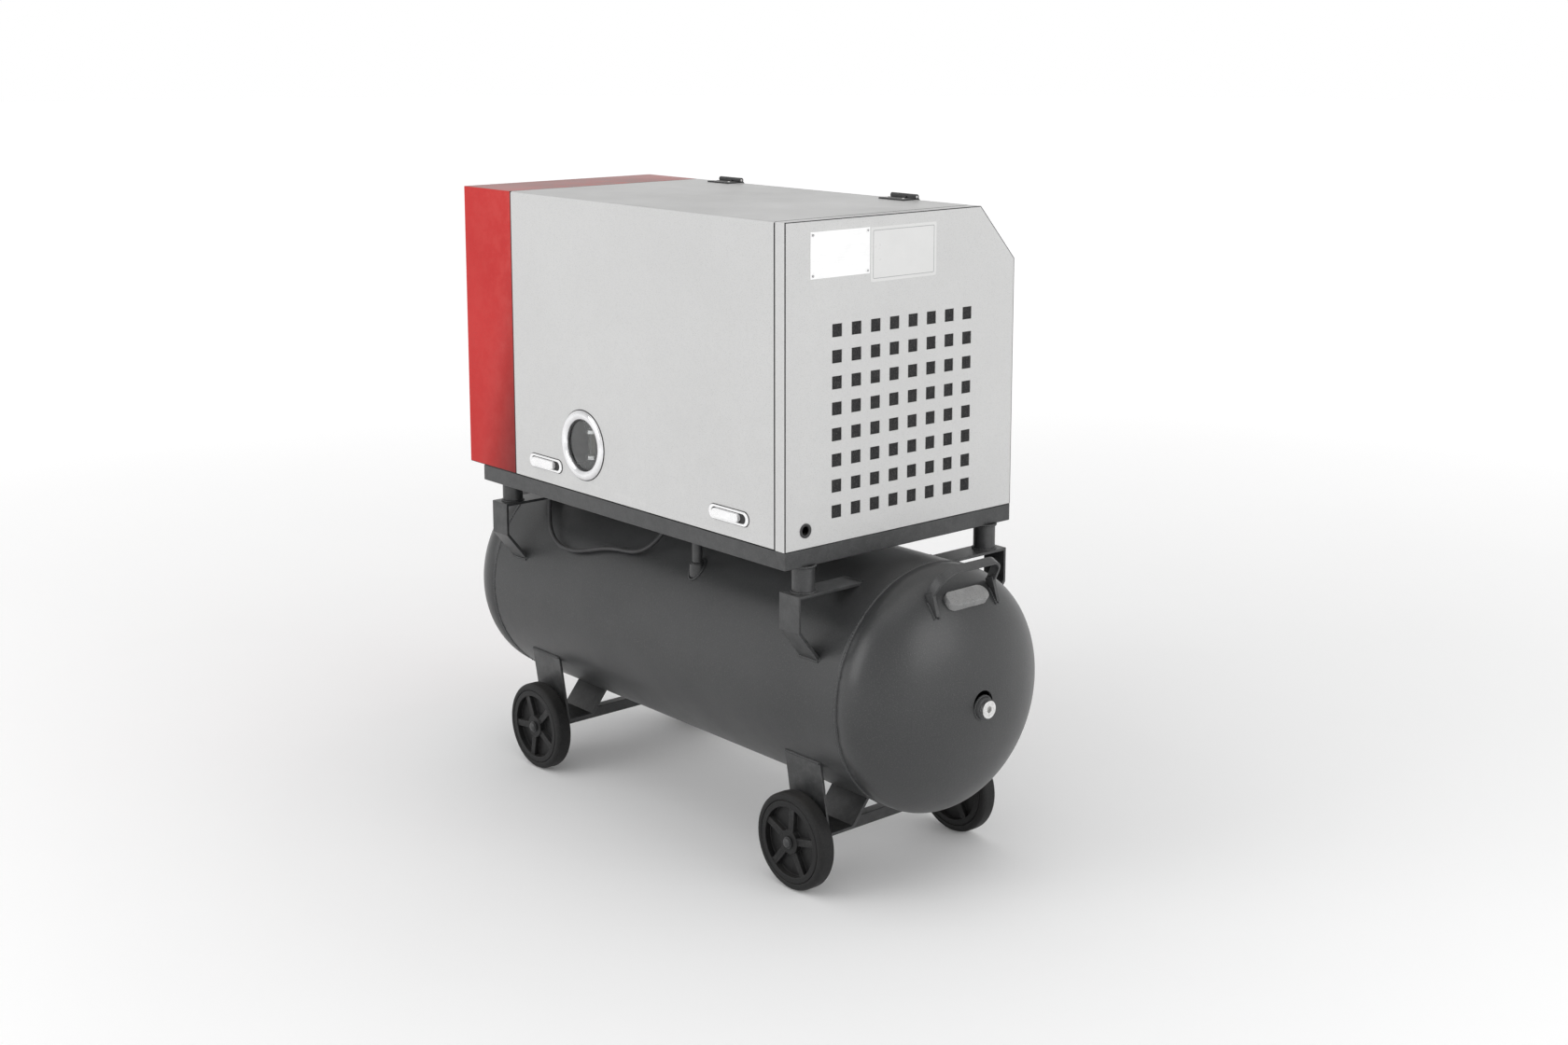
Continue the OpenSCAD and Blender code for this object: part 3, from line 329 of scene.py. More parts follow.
for side, hand in (("right", 1), ("left", -1)):
    outside = [(tank_r - 0.0012, seam_x), (tank_r, seam_x + 0.0012), (tank_r, dish_x)]
    outside += [(tank_r * math.cos(math.radians(a)), dish_x + dish_depth * math.sin(math.radians(a)))
                for a in range(2, 86, 2)]
    socket = [(0.0225, 0.7488), (0.0215, 0.7570), (0.0205, 0.7580), (0.0155, 0.7580), (0.0150, 0.7570), (0.0150, 0.742)]
    inside = [((tank_r - 0.004) * math.cos(math.radians(a)), dish_x + (dish_depth - 0.004) * math.sin(math.radians(a)))
              for a in range(84, -2, -6)]
    head = spun(f"receiver_head_{side}", [(r, hand * h) for r, h in outside], tank_black,
                (0, 0, tank_z), (1, 0, 0), steps=160)
    wall = spun(f"head_inside_{side}", [(r, hand * h) for r, h in inside] + [(tank_r - 0.004, hand * seam_x)],
                tank_black, (0, 0, tank_z), (1, 0, 0), steps=64)
    boss = spun(f"head_socket_{side}", [(r, hand * h) for r, h in socket], tank_black,
                (0, 0, tank_z - 0.008), (1, 0, 0), steps=64)
    sharpen(boss, 50)
    bpy.context.view_layer.update()
    with bpy.context.temp_override(active_object=head, selected_editable_objects=[head, wall, boss]):
        bpy.ops.object.join()
    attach(head, "root")
    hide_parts(f"tank_head_{side}")


# ---- Weld beads on the receiver ----
# Rippled MIG beads round both seams, along the shell's own joint, round each socket and
# at every strap, bracket, pad and lifting eye, all left as welded under the paint.
def geometry_group(name, inputs):
    """A geometry tree with a Geometry input, these (name, kind, value) inputs and a Finish.

    Returns the tree, the sockets that bring its inputs in and the sockets that take its outputs.
    """
    tree = bpy.data.node_groups.new(name, "GeometryNodeTree")
    tree.interface.new_socket("Geometry", in_out="INPUT", socket_type="NodeSocketGeometry")
    for label, kind, value in inputs:
        socket = tree.interface.new_socket(label, in_out="INPUT", socket_type="NodeSocket" + kind)
        if value is not None:
            socket.default_value = value
    tree.interface.new_socket("Finish", in_out="INPUT", socket_type="NodeSocketMaterial")
    tree.interface.new_socket("Geometry", in_out="OUTPUT", socket_type="NodeSocketGeometry")
    return tree, add(tree, "NodeGroupInput").outputs, add(tree, "NodeGroupOutput").inputs


def close_group(tree, given, out, shape, smooth=True):
    """Ends a geometry tree in real geometry with its finish."""
    real = add(tree, "GeometryNodeRealizeInstances", {0: shape})
    shaded = add(tree, "GeometryNodeSetShadeSmooth", {"Geometry": real.outputs[0], "Shade Smooth": smooth})
    done = add(tree, "GeometryNodeSetMaterial", {"Geometry": shaded.outputs[0], "Material": given["Finish"]})
    tree.links.new(done.outputs[0], out[0])
    return tree


def bead_group():
    """A bead swept along every line it is given, swelling once each ripple and wandering a little."""
    tree, given, out = geometry_group("weld bead", [("Radius", "Float", 0.004), ("Ripple pitch", "Float", 0.006),
                                                    ("Ripple depth", "Float", 0.1), ("Wander", "Float", 0.0005)])
    line = add(tree, "GeometryNodeMeshToCurve", {"Mesh": given["Geometry"]})
    step = calc(tree, "MULTIPLY", given["Ripple pitch"], 0.25)
    fine = add(tree, "GeometryNodeResampleCurve", {"Curve": line.outputs[0], "Length": step}, mode="LENGTH")
    place = add(tree, "GeometryNodeInputPosition")
    cloud = add(tree, "ShaderNodeTexNoise", {"Vector": place.outputs[0], "Scale": 90.0, "Detail": 1.0})
    centred = add(tree, "ShaderNodeVectorMath", {0: cloud.outputs["Color"], 1: (0.5, 0.5, 0.5)}, operation="SUBTRACT")
    drift = add(tree, "ShaderNodeVectorMath", {0: centred.outputs[0], "Scale": given["Wander"]},
                operation="SCALE")
    moved = add(tree, "GeometryNodeSetPosition", {"Geometry": fine.outputs[0], "Offset": drift.outputs[0]})
    along = add(tree, "GeometryNodeSplineParameter")
    turns = calc(tree, "DIVIDE", along.outputs["Length"], given["Ripple pitch"])
    wave = calc(tree, "SINE", calc(tree, "MULTIPLY", turns, 2 * math.pi))
    swell = calc(tree, "MULTIPLY_ADD", wave, given["Ripple depth"], 1.0)
    radius = calc(tree, "MULTIPLY", swell, given["Radius"])
    section = add(tree, "GeometryNodeCurvePrimitiveCircle", {"Resolution": 8, "Radius": 1.0}, mode="RADIUS")
    swept = add(tree, "GeometryNodeCurveToMesh", {"Curve": moved.outputs[0], "Profile Curve": section.outputs[0],
                                                  "Scale": radius, "Fill Caps": True})
    return close_group(tree, given, out, swept.outputs[0])


def grown(name, tree, seed, sizes):
    """Runs a geometry tree on the seed mesh and keeps what it makes as a plain mesh."""
    piece = bpy.data.objects.new(name, seed)
    bpy.context.scene.collection.objects.link(piece)
    grower = piece.modifiers.new(tree.name, "NODES")
    grower.node_group = tree
    sockets = {s.name: s.identifier for s in tree.interface.items_tree if s.in_out == "INPUT"}
    for label, value in sizes.items():
        grower[sockets[label]] = value
    made = bpy.data.meshes.new_from_object(piece.evaluated_get(bpy.context.evaluated_depsgraph_get()))
    piece.modifiers.clear()
    piece.data = made
    made.name = name
    return piece


def lines(runs):
    """A mesh of bare edges from runs of (points, closed)."""
    points, edges = [], []
    for run, closed in runs:
        first = len(points)
        points += [tuple(p) for p in run]
        edges += [(first + i, first + i + 1) for i in range(len(run) - 1)]
        if closed:
            edges.append((len(points) - 1, first))
    mesh = bpy.data.meshes.new("weld_line")
    mesh.from_pydata(points, edges, [])
    return mesh


def shell_z(y, below=False, lift=0.0):
    """Height of the receiver's shell at y, on its upper or lower half."""
    rise = math.sqrt((tank_r + lift) ** 2 - y * y)
    return tank_z - rise if below else tank_z + rise


def head_out(y, up):
    """X of a head's outside at y, and up above the receiver's axis."""
    return dish_x + dish_depth * math.sqrt(1 - (y * y + up * up) / tank_r ** 2)


def ring(centre, axis, radius, count=72):
    """Points round an axis."""
    side = Vector(axis).orthogonal().normalized()
    across = Vector(axis).normalized().cross(side)
    return [Vector(centre) + radius * (math.cos(t) * side + math.sin(t) * across)
            for t in (2 * math.pi * k / count for k in range(count))]


bead_tree = bead_group()
seams = [(ring((x, 0, tank_z), (1, 0, 0), tank_r - 0.0032, 240), True) for x in (-seam_x, seam_x)]
joint_y = 0.21
seams.append(([(x * 0.02 - 0.594, joint_y, shell_z(joint_y, True, -0.003)) for x in range(60)], False))
seam_beads = grown("receiver_seam_beads", bead_tree, lines(seams),
                   {"Radius": 0.005, "Ripple pitch": 0.0065, "Ripple depth": 0.07, "Wander": 0.0022,
                    "Finish": tank_black})
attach(seam_beads, "root")

strap_xs, axle_xs, strap_half, bracket_half = (0.505, -0.508), (0.4575, -0.4455), 0.029, 0.0535
pad_up, pad_half, pad_r = 0.203, 0.0365, 0.0185
pad_outline = [(pad_half * s + pad_r * math.cos(math.radians(a)), pad_r * math.sin(math.radians(a)))
               for s, first in ((1, -90), (-1, 90)) for a in range(first, first + 181, 15)]
pad_slope = math.atan2((head_out(0, pad_up) - dish_x) / dish_depth ** 2, pad_up / tank_r ** 2)
fillets = []
for hand in (1, -1):
    fillets.append((ring((hand * 0.7492, 0, 0.402), (1, 0, 0), 0.0230), True))
    for foot_y in (-0.084, 0.084):
        for face in (-0.0045, 0.0045):
            fillets.append(([(hand * (head_out(foot_y + face, up) + 0.0002), foot_y + face, tank_z + up)
                             for up in (0.176, 0.184, 0.192, 0.200, 0.206)], False))
    if hand == 1:
        fillets.append(([(head_out(u, pad_up + v * math.cos(pad_slope)), u, tank_z + pad_up + v * math.cos(pad_slope))
                         for u, v in pad_outline], True))
    for x in strap_xs:
        for end in (-strap_half, strap_half):
            fillets.append(([(x + end, hand * 0.2386 * k, 0.4935 + (0.518 - 0.4935) * (1 - k) / 0.08)
                             for k in (1.0, 0.98, 0.96)], False))
        fillets.append(([(x + s * strap_half, hand * 0.2390, 0.4925) for s in (-0.95, -0.4, 0.1, 0.55, 0.95)], False))
        fillets.append(([(x + s * strap_half, hand * 0.1210, 0.6325) for s in (-0.95, 0, 0.95)], False))
        fillets.append((ring((x, hand * 0.2535, 0.6325), (0, 0, 1), 0.0235), True))
        fillets.append((ring((x, hand * 0.2535, 0.6845), (0, 0, 1), 0.0235), True))
    for x in axle_xs:
        fillets.append(([(x + s * bracket_half, hand * 0.2125, 0.2705) for s in (-0.95, -0.5, 0, 0.5, 0.95)], False))
        fillets.append(([(x + s * bracket_half, hand * 0.0745, 0.1675) for s in (-0.95, 0, 0.95)], False))
        for edge in (-0.0132, 0.0132):
            fillets.append(([(x + edge, hand * y, 0.1118) for y in (0.186, 0.165, 0.145, 0.124)], False))
pipe_x, pipe_y = 0.091, -0.187
fillets.append(([(p.x, p.y, shell_z(p.y) + 0.0005) for p in ring((pipe_x, pipe_y, 0), (0, 0, 1), 0.0178)], True))
fillets.append((ring((pipe_x, pipe_y, shell_z(pipe_y) + 0.012), (0, 0, 1), 0.0118), True))
fillet_beads = grown("bracket_fillet_beads", bead_tree, lines(fillets),
                     {"Radius": 0.0028, "Ripple pitch": 0.0046, "Ripple depth": 0.12, "Wander": 0.0012,
                      "Finish": tank_black})
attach(fillet_beads, "root")


# ---- Welded brackets, lifting eyes and saddle straps ----
# Bent flat bar and plate: the eyes on the heads, the straps that carry the frame, the
# brackets over the axles and the square beams, with their sheared edges just broken.
def crisp(node, name, finish, radius, body, segments=2, rims=(), shade_edging=None, clamp=False):
    """The CAD node's shape with its sharp edges rounded, and those edges marked for wear.

    Rims are planes, each a point and an outward direction. The shade edging paints the shadow of a
    shut line on what lies beyond them. Clamp stops the rounding from crossing itself on a thin part.
    """
    shape = bmesh.new()
    shape.from_mesh(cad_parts[node].data)
    bmesh.ops.remove_doubles(shape, verts=shape.verts, dist=2e-6)
    bmesh.ops.dissolve_limit(shape, angle_limit=math.radians(0.6), verts=shape.verts, edges=shape.edges)
    for point, outward in rims:
        bmesh.ops.bisect_plane(shape, geom=shape.verts[:] + shape.edges[:] + shape.faces[:], dist=1e-6,
                               plane_co=point, plane_no=outward)
    mesh = bpy.data.meshes.new(name)
    shape.to_mesh(mesh)
    shape.free()
    mesh.materials.clear()
    mesh.materials.append(finish)
    if shade_edging:
        mesh.materials.append(shade_edging)
    for face in mesh.polygons:
        face.use_smooth = True
        face.material_index = int(any((face.center - Vector(point)).dot(Vector(outward)) > 1e-5
                                      for point, outward in rims))
    piece = bpy.data.objects.new(name, mesh)
    bpy.context.scene.collection.objects.link(piece)
    round_off = piece.modifiers.new("broken edges", "BEVEL")
    round_off.width = radius
    round_off.segments = segments
    round_off.limit_method = "ANGLE"
    round_off.angle_limit = math.radians(30)
    round_off.use_clamp_overlap = clamp
    even = piece.modifiers.new("flat faces", "WEIGHTED_NORMAL")
    even.weight = 100
    even.keep_sharp = True
    made = bpy.data.meshes.new_from_object(piece.evaluated_get(bpy.context.evaluated_depsgraph_get()))
    piece.modifiers.clear()
    piece.data = made
    made.name = name
    bend, first = [0.0] * len(made.vertices), {}
    for face in made.polygons:
        normal = face.normal.copy()
        for v in face.vertices:
            bend[v] = max(bend[v], 1 - first.setdefault(v, normal).dot(normal))
    worn = [min(1.0, b * 4) if b > 0.03 else 0.0 for b in bend]
    made.attributes.new("edge", "FLOAT", "POINT").data.foreach_set("value", worn)
    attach(piece, body)
    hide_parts(node)


crisp("lifting_handles", "lifting_eyes", tank_black, 0.0014, "root", segments=3)
crisp("saddle_straps", "saddle_strap_bars", tank_black, 0.0009, "root")
crisp("wheel_brackets", "wheel_bracket_plates", tank_black, 0.0009, "root")
crisp("axle_beams", "axle_beam_tubes", tank_black, 0.0018, "root", segments=3)
crisp("posts", "strap_posts", tank_black, 0.0008, "root")
crisp("delivery_pipe", "delivery_pipe_steel", tank_black, 0.0008, "root")


# ---- Serial pad ----
# A slim steel pad welded on the right head, its face left blank and painted grey so
# that it stands out from the black.
pad_grey = coated(
    "pad_grey", 0.0003, colour=0.3, shade=0.22, mottle=30.0, speckle=0.14, speckle_size=600.0, dust_and_top_light=(0.4, 0.39, 0.37),
    dust_and_top_light_amount=0.2, skin=500.0, rough=(0.35, 0.5), rub=(0.1, 0.7, 110.0))
crisp("plate_pad", "serial_pad", pad_grey, 0.0022, "root", segments=3)


# ---- End plugs ----
# Steel plugs with a hexagon socket, turned from bar and zinc plated. They are screwed
# into the threaded sockets of both heads and close the receiver's ends.
def metal_group():
    """Bare or plated metal: drawn or turned grain, faint stains and a roughness that follows them."""
    tree, given, out = new_group(
        "bare metal",
        [("Colour", "Color", (0.6, 0.6, 0.6, 1)), ("Stain", "Color", (0.4, 0.4, 0.4, 1)),
         ("Grain", "Vector", (40.0, 40.0, 900.0)), ("Stain size", "Float", 30.0), ("Stain amount", "Float", 0.3),
         ("Smooth", "Float", 0.2), ("Rough", "Float", 0.4)],
        [("Colour", "Color"), ("Roughness", "Float"), ("Height", "Float")])
    place = add(tree, "ShaderNodeTexCoord").outputs["Object"]
    drawn = add(tree, "ShaderNodeMapping", {"Vector": place, "Scale": given["Grain"]})
    grain = noise(tree, drawn.outputs[0], 1.0, 3.0)
    stain = noise(tree, place, given["Stain size"], 5.0, 0.65)
    dull = calc(tree, "MULTIPLY", spread(tree, stain, 0.45, 0.7, 0.0, 1.0), given["Stain amount"])
    bright = mix(tree, spread(tree, grain, 0.3, 0.7, 0.0, 0.35), given["Colour"], given["Stain"])
    tree.links.new(mix(tree, dull, bright, given["Stain"]), out["Colour"])
    rough = spread(tree, grain, 0.3, 0.7, given["Smooth"], given["Rough"])
    tree.links.new(rough, out["Roughness"])
    tree.links.new(grain, out["Height"])
    return tree


metal_tree = metal_group()


def metalled(name, relief, colour, stain, grain, stain_size, stain_amount, rough, plain=None):
    """A bare, plated or polished metal. Relief is its grain's depth, rough its smoothest and roughest."""
    finish, tree, surface = new_finish(name)
    metal = add(tree, "ShaderNodeGroup", {
        "Colour": tone(colour), "Stain": tone(stain), "Grain": grain, "Stain size": stain_size,
        "Stain amount": stain_amount, "Smooth": rough[0], "Rough": rough[1]}, node_tree=metal_tree)
    lay_on(tree, surface, metal, metal.outputs["Colour"], relief, 0.5, {"Metallic": 1.0, **(plain or {})})
    return finish


plug_zinc = metalled(
    "plug_zinc", 0.0001, colour=0.8, stain=(0.42, 0.41, 0.38), grain=(900.0, 120.0, 120.0), stain_size=90.0,
    stain_amount=0.5, rough=(0.22, 0.38))
crisp("end_plugs", "hexagon_plugs", plug_zinc, 0.0010, "root", segments=3)


# ---- Axles ----
# Bright steel bars through the beams. A collar keeps each wheel off the beam and a
# pressed, domed cap, painted black, holds it on.
axle_steel = metalled(
    "axle_steel", 0.0001, colour=(0.62, 0.62, 0.63), stain=(0.25, 0.22, 0.2), grain=(160.0, 900.0, 160.0),
    stain_size=70.0, stain_amount=0.5, rough=(0.2, 0.36))


def joined(name, pieces):
    """The pieces as one object."""
    with bpy.context.temp_override(active_object=pieces[0], selected_editable_objects=pieces):
        bpy.ops.object.join()
    pieces[0].name = pieces[0].data.name = name
    return pieces[0]


wheel_r = 0.1
collar = [(0.01, 0.205), (0.0152, 0.205), (0.016, 0.2058), (0.016, 0.2109), (0.0152, 0.2117), (0.01, 0.2117)]
cap = [(0.01, 0.2503), (0.0118, 0.2503), (0.012, 0.2508), (0.012, 0.2530), (0.0104, 0.2534), (0.0102, 0.2548)]
cap += [(0.0102 * math.cos(math.radians(a)), 0.2548 + 0.0045 * math.sin(math.radians(a))) for a in range(10, 90, 10)]
cap.append((0, 0.2593))
axle_parts = []
for x in axle_xs:
    middle = (x, 0, wheel_r)
    axle_parts.append(spun("axle_bar", [(0, -0.2503), (0.01, -0.2503), (0.01, 0.2503), (0, 0.2503)], axle_steel, middle,
                           (0, 1, 0), steps=48))
    for hand in (-1, 1):
        axle_parts.append(spun("axle_collar", [(r, hand * h) for r, h in collar], axle_steel, middle, (0, 1, 0),
                               closed=True))
        axle_parts.append(spun("axle_cap", [(r, hand * h) for r, h in cap], tank_black, middle, (0, 1, 0)))
axle_set = sharpen(joined("axles_and_caps", axle_parts), 40)
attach(axle_set, "root")
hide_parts("axles")


# ---- Wheels ----
# Solid rubber tyres moulded onto black plastic rims: a recessed web, five broad spokes
# and a hub. The tyre has a flat tread and round shoulders.
tyre_rubber = coated(
    "tyre_rubber", 0.0005, colour=(0.011, 0.011, 0.0115), shade=0.015, mottle=18.0, speckle=(0.026, 0.025, 0.024),
    speckle_size=460.0, dust_and_top_light=(0.09, 0.085, 0.08), dust_and_top_light_amount=0.3, skin=520.0, rough=(0.5, 0.66),
    plain={"Specular IOR Level": 0.25})
rim_plastic = coated(
    "rim_plastic", 0.0004, colour=(0.008, 0.008, 0.0085), shade=0.012, mottle=14.0, speckle=0.022, speckle_size=620.0,
    dust_and_top_light=(0.13, 0.125, 0.12), dust_and_top_light_amount=0.2, skin=700.0, rough=(0.36, 0.5), rub=(0.07, 0.4, 90.0),
    plain={"Specular IOR Level": 0.25})
tread = [(0.0850, -0.0170), (0.0857, -0.0182), (0.0870, -0.0190), (0.0905, -0.0190)]
tread += [(0.0905 + 0.0095 * math.sin(math.radians(a)), -0.0095 - 0.0095 * math.cos(math.radians(a)))
          for a in range(15, 90, 15)]
tread += [(0.1000, -0.0090), (0.1000, -0.0006)]
tread = tread + [(r, -h) for r, h in reversed(tread)]
for end, x in (("right", axle_xs[0]), ("left", axle_xs[1])):
    for side, y in (("near", -0.231), ("far", 0.231)):
        tyre = spun(f"tyre_ring_{end}_{side}", tread, tyre_rubber, (x, y, wheel_r), (0, 1, 0), steps=128, closed=True)
        sharpen(tyre, 40)
        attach(tyre, f"wheel_{end}_{side}")
        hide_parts(f"tyre_{end}_{side}")
        crisp(f"rim_{end}_{side}", f"rim_disc_{end}_{side}", rim_plastic, 0.0013, f"wheel_{end}_{side}",
              segments=3)


# ---- Base frame ----
# Folded steel channels welded into a rectangle under the cabinet, closed by a galvanised
# pan. It is painted with the receiver, so it has the same satin black.
crisp("base_frame", "base_frame_channels", tank_black, 0.0016, "root", segments=3)
pan_zinc = metalled(
    "pan_zinc", 0.0002, colour=(0.6, 0.62, 0.63), stain=(0.4, 0.41, 0.42), grain=(45.0, 45.0, 45.0), stain_size=14.0,
    stain_amount=0.6, rough=(0.34, 0.52))
crisp("floor_pan", "galvanised_pan", pan_zinc, 0.0004, "root")


# ---- Hose fittings and drain ----
# Zinc-plated hexagon unions under the pan, and the condensate drain under the receiver
# with its small brass knob.
fitting_zinc = metalled(
    "fitting_zinc", 0.00008, colour=0.74, stain=(0.36, 0.34, 0.3), grain=(500.0, 500.0, 90.0), stain_size=120.0,
    stain_amount=0.45, rough=(0.24, 0.4))
turned_brass = metalled(
    "turned_brass", 0.00008, colour=(0.8, 0.58, 0.27), stain=(0.34, 0.22, 0.1), grain=(300.0, 300.0, 900.0),
    stain_size=80.0, stain_amount=0.5, rough=(0.2, 0.38))
crisp("hose_fittings", "hose_unions", fitting_zinc, 0.0006, "root")
crisp("drain_body", "drain_boss", fitting_zinc, 0.0006, "root")
crisp("drain_knob", "drain_knob_brass", turned_brass, 0.0007, "drain_body_knob")


# ---- Outlet valve and safety valve ----
# A nickel-plated ball valve with a red dipped lever on the far side, and a brass safety
# valve screwed into the shoulder beside it.
valve_nickel = metalled(
    "valve_nickel", 0.00006, colour=(0.7, 0.67, 0.62), stain=(0.4, 0.37, 0.33), grain=(200.0, 700.0, 200.0),
    stain_size=60.0, stain_amount=0.35, rough=(0.14, 0.28))
lever_red = coated(
    "lever_red", 0.0002, colour=(0.5, 0.03, 0.022), shade=(0.4, 0.022, 0.018), mottle=40.0,
    speckle=(0.42, 0.03, 0.03), speckle_size=400.0, dust_and_top_light=(0.45, 0.3, 0.28), dust_and_top_light_amount=0.2, skin=240.0,
    rough=(0.26, 0.42), rub=((0.36, 0.34, 0.33), 0.6, 120.0))
crisp("outlet_valve", "ball_valve", valve_nickel, 0.0006, "root")
crisp("outlet_lever", "ball_valve_lever", lever_red, 0.0009, "lever_body", segments=3)
crisp("safety_valve", "safety_valve_brass", turned_brass, 0.0007, "root")


# ---- Cabinet shell ----
# Folded and powder-coated sheet steel with a fine orange peel and a faint darker fleck.
# Thin black strips along the shut lines are painted shade for the gaps; the hood swings, everything else is fixed.
# Its dark tint on upward faces, laid on heavily, is painted shade that darkens the cabinet's top.
cabinet_grey = coated(
    "cabinet_grey", 0.00022, colour=(0.555, 0.555, 0.552), shade=(0.525, 0.525, 0.522), mottle=2.6,
    speckle=(0.45, 0.45, 0.447), speckle_size=620.0, dust_and_top_light=(0.3, 0.298, 0.293), dust_and_top_light_amount=0.8, skin=420.0,
    rough=(0.3, 0.4), rub=((0.66, 0.66, 0.65), 0.35, 30.0), plain={"Coat Weight": 0.10, "Coat Roughness": 0.30})
# A dull black that paints the shadow in the shut lines, round the window ring and round the latch bezels.
painted_shade_black = coated(
    "painted_shade_black", 0.0001, colour=(0.03, 0.03, 0.031), shade=(0.042, 0.042, 0.043), mottle=30.0, speckle=0.06,
    speckle_size=900.0, dust_and_top_light=(0.12, 0.12, 0.11), dust_and_top_light_amount=0.1, skin=900.0, rough=(0.5, 0.65),
    plain={"Specular IOR Level": 0.2})
# Planes just inside the sheets' edges, at the foot, the crown and the flanks; the sheet beyond them is painted shade.
foot_z, crown_z, flank_y = 0.7220, 1.3538, 0.3122
crisp("end_hoop", "cabinet_hoop", cabinet_grey, 0.0009, "root", segments=3)
crisp("end_panel", "grille_panel", cabinet_grey, 0.0005, "root", shade_edging=painted_shade_black,
      rims=[((0, -flank_y, 0), (0, -1, 0)), ((0, flank_y, 0), (0, 1, 0)), ((0, 0, crown_z), (0, 0, 1)),
            ((0, 0, foot_z), (0, 0, -1)), ((0, 0.2630 - 0.0014, 1.2985 - 0.0013), (0, 0.745, 0.667))])
crisp("far_panel", "far_side_panel", cabinet_grey, 0.0005, "root", shade_edging=painted_shade_black,
      rims=[((0, 0, foot_z), (0, 0, -1))])
crisp("bulkhead", "bulkhead_sheet", pan_zinc, 0.0004, "root")
# Its pale brownish tint on upward faces, laid on heavily, is a painted glare that greys the cover's top.
cabinet_red = coated(
    "cabinet_red", 0.00022, colour=(0.52, 0.011, 0.009), shade=(0.47, 0.009, 0.008), mottle=3.2,
    speckle=(0.41, 0.01, 0.009), speckle_size=620.0, dust_and_top_light=(0.24, 0.2, 0.19), dust_and_top_light_amount=0.85, skin=420.0,
    rough=(0.38, 0.5), rub=((0.56, 0.06, 0.05), 0.4, 30.0), plain={"Specular IOR Level": 0.28})
crisp("front_cover", "front_cover_sheet", cabinet_red, 0.0014, "root", segments=3, shade_edging=painted_shade_black,
      rims=[((-0.4018, 0, 0), (1, 0, 0)), ((0, 0, 0.7222), (0, 0, -1))])
crisp("hood", "hood_sheet", cabinet_grey, 0.0006, "hood_body", shade_edging=painted_shade_black,
      rims=[((-0.3984, 0, 0), (-1, 0, 0)), ((0.4878, 0, 0), (1, 0, 0)), ((0, 0, 0.7224), (0, 0, -1))])


# ---- Hood lining ----
# Dark acoustic foam glued inside the hood in separate mats, moulded in rows of blunt
# pyramids and cut clear of the latches and the window.
foam_dark = coated(
    "foam_dark", 0.0015, colour=(0.04, 0.04, 0.042), shade=(0.026, 0.026, 0.028), mottle=20.0, speckle=0.01,
    speckle_size=800.0, dust_and_top_light=(0.16, 0.15, 0.14), dust_and_top_light_amount=0.2, skin=600.0, rough=(0.88, 0.97))


def foam_group():
    """Blunt pyramids in rows on a flat mat, grown from the mat's middle along its own plane."""
    tree, given, out = geometry_group("foam pyramids", [("Length", "Float", 0.3), ("Width", "Float", 0.2),
                                                        ("Pitch", "Float", 0.025), ("Depth", "Float", 0.006),
                                                        ("Backing", "Float", 0.004)])
    sides, pitch = (given["Length"], given["Width"]), given["Pitch"]
    rows = [calc(tree, "FLOOR", calc(tree, "DIVIDE", side, pitch)) for side in sides]
    spans = [calc(tree, "SUBTRACT", side, pitch) for side in sides]
    spots = add(tree, "GeometryNodeMeshGrid", {"Size X": spans[0], "Size Y": spans[1], "Vertices X": rows[0],
                                               "Vertices Y": rows[1]})
    tip = add(tree, "GeometryNodeMeshCone", {"Vertices": 4, "Radius Top": 0.006, "Radius Bottom": 0.0165,
                                             "Depth": given["Depth"]}, fill_type="NGON")
    turned = add(tree, "GeometryNodeTransform", {"Geometry": tip.outputs[0], "Rotation": (0.0, 0.0, math.pi / 4)})
    tips = add(tree, "GeometryNodeInstanceOnPoints", {"Points": spots.outputs[0], "Instance": turned.outputs[0]})
    size = add(tree, "ShaderNodeCombineXYZ", {0: given["Length"], 1: given["Width"],
                                              2: given["Backing"]})
    mat = add(tree, "GeometryNodeMeshCube", {"Size": size.outputs[0]})
    low = add(tree, "ShaderNodeCombineXYZ", {2: calc(tree, "MULTIPLY", given["Backing"], -0.5)})
    backing = add(tree, "GeometryNodeTransform", {"Geometry": mat.outputs[0], "Translation": low.outputs[0]})
    both = add(tree, "GeometryNodeJoinGeometry")
    tree.links.new(tips.outputs[0], both.inputs[0])
    tree.links.new(backing.outputs[0], both.inputs[0])
    return close_group(tree, given, out, both.outputs[0], smooth=False)


foam_tree = foam_group()
foam_mats = []
for middle, facing, length, width in (
        ((0.045, -0.040, 1.3490), (0, 0, -1), 0.850, 0.440),
        ((0.045, -0.3075, 1.130), (0, 1, 0), 0.850, 0.380),
        ((0.110, -0.3075, 0.850), (0, 1, 0), 0.250, 0.150)):
    mat = grown("foam_mat", foam_tree, bpy.data.meshes.new("mat_seed"),
                {"Length": length, "Width": width, "Pitch": 0.025, "Depth": 0.006, "Backing": 0.004,
                 "Finish": foam_dark})
    out_z = Vector(facing)
    side_x = Vector((1, 0, 0))
    stand = Matrix((side_x, out_z.cross(side_x), out_z)).transposed().to_4x4()
    mat.data.transform(Matrix.Translation(middle) @ stand)
    foam_mats.append(mat)
hood_foam = joined("hood_foam_mats", foam_mats)
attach(hood_foam, "hood_body")


# ---- Grille mat ----
# Open black filter foam clipped behind the square air holes. Its pores are cut into the
# skin, so it looks soft and never shines.
filter_foam = coated(
    "filter_foam", 0.003, colour=(0.022, 0.022, 0.023), shade=(0.012, 0.012, 0.013), mottle=60.0,
    speckle=(0.06, 0.058, 0.055), speckle_size=420.0, dust_and_top_light=(0.1, 0.095, 0.09), dust_and_top_light_amount=0.2, skin=380.0,
    rough=(0.9, 0.98))
crisp("filter_mat", "grille_filter_foam", filter_foam, 0.0015, "root", segments=3)


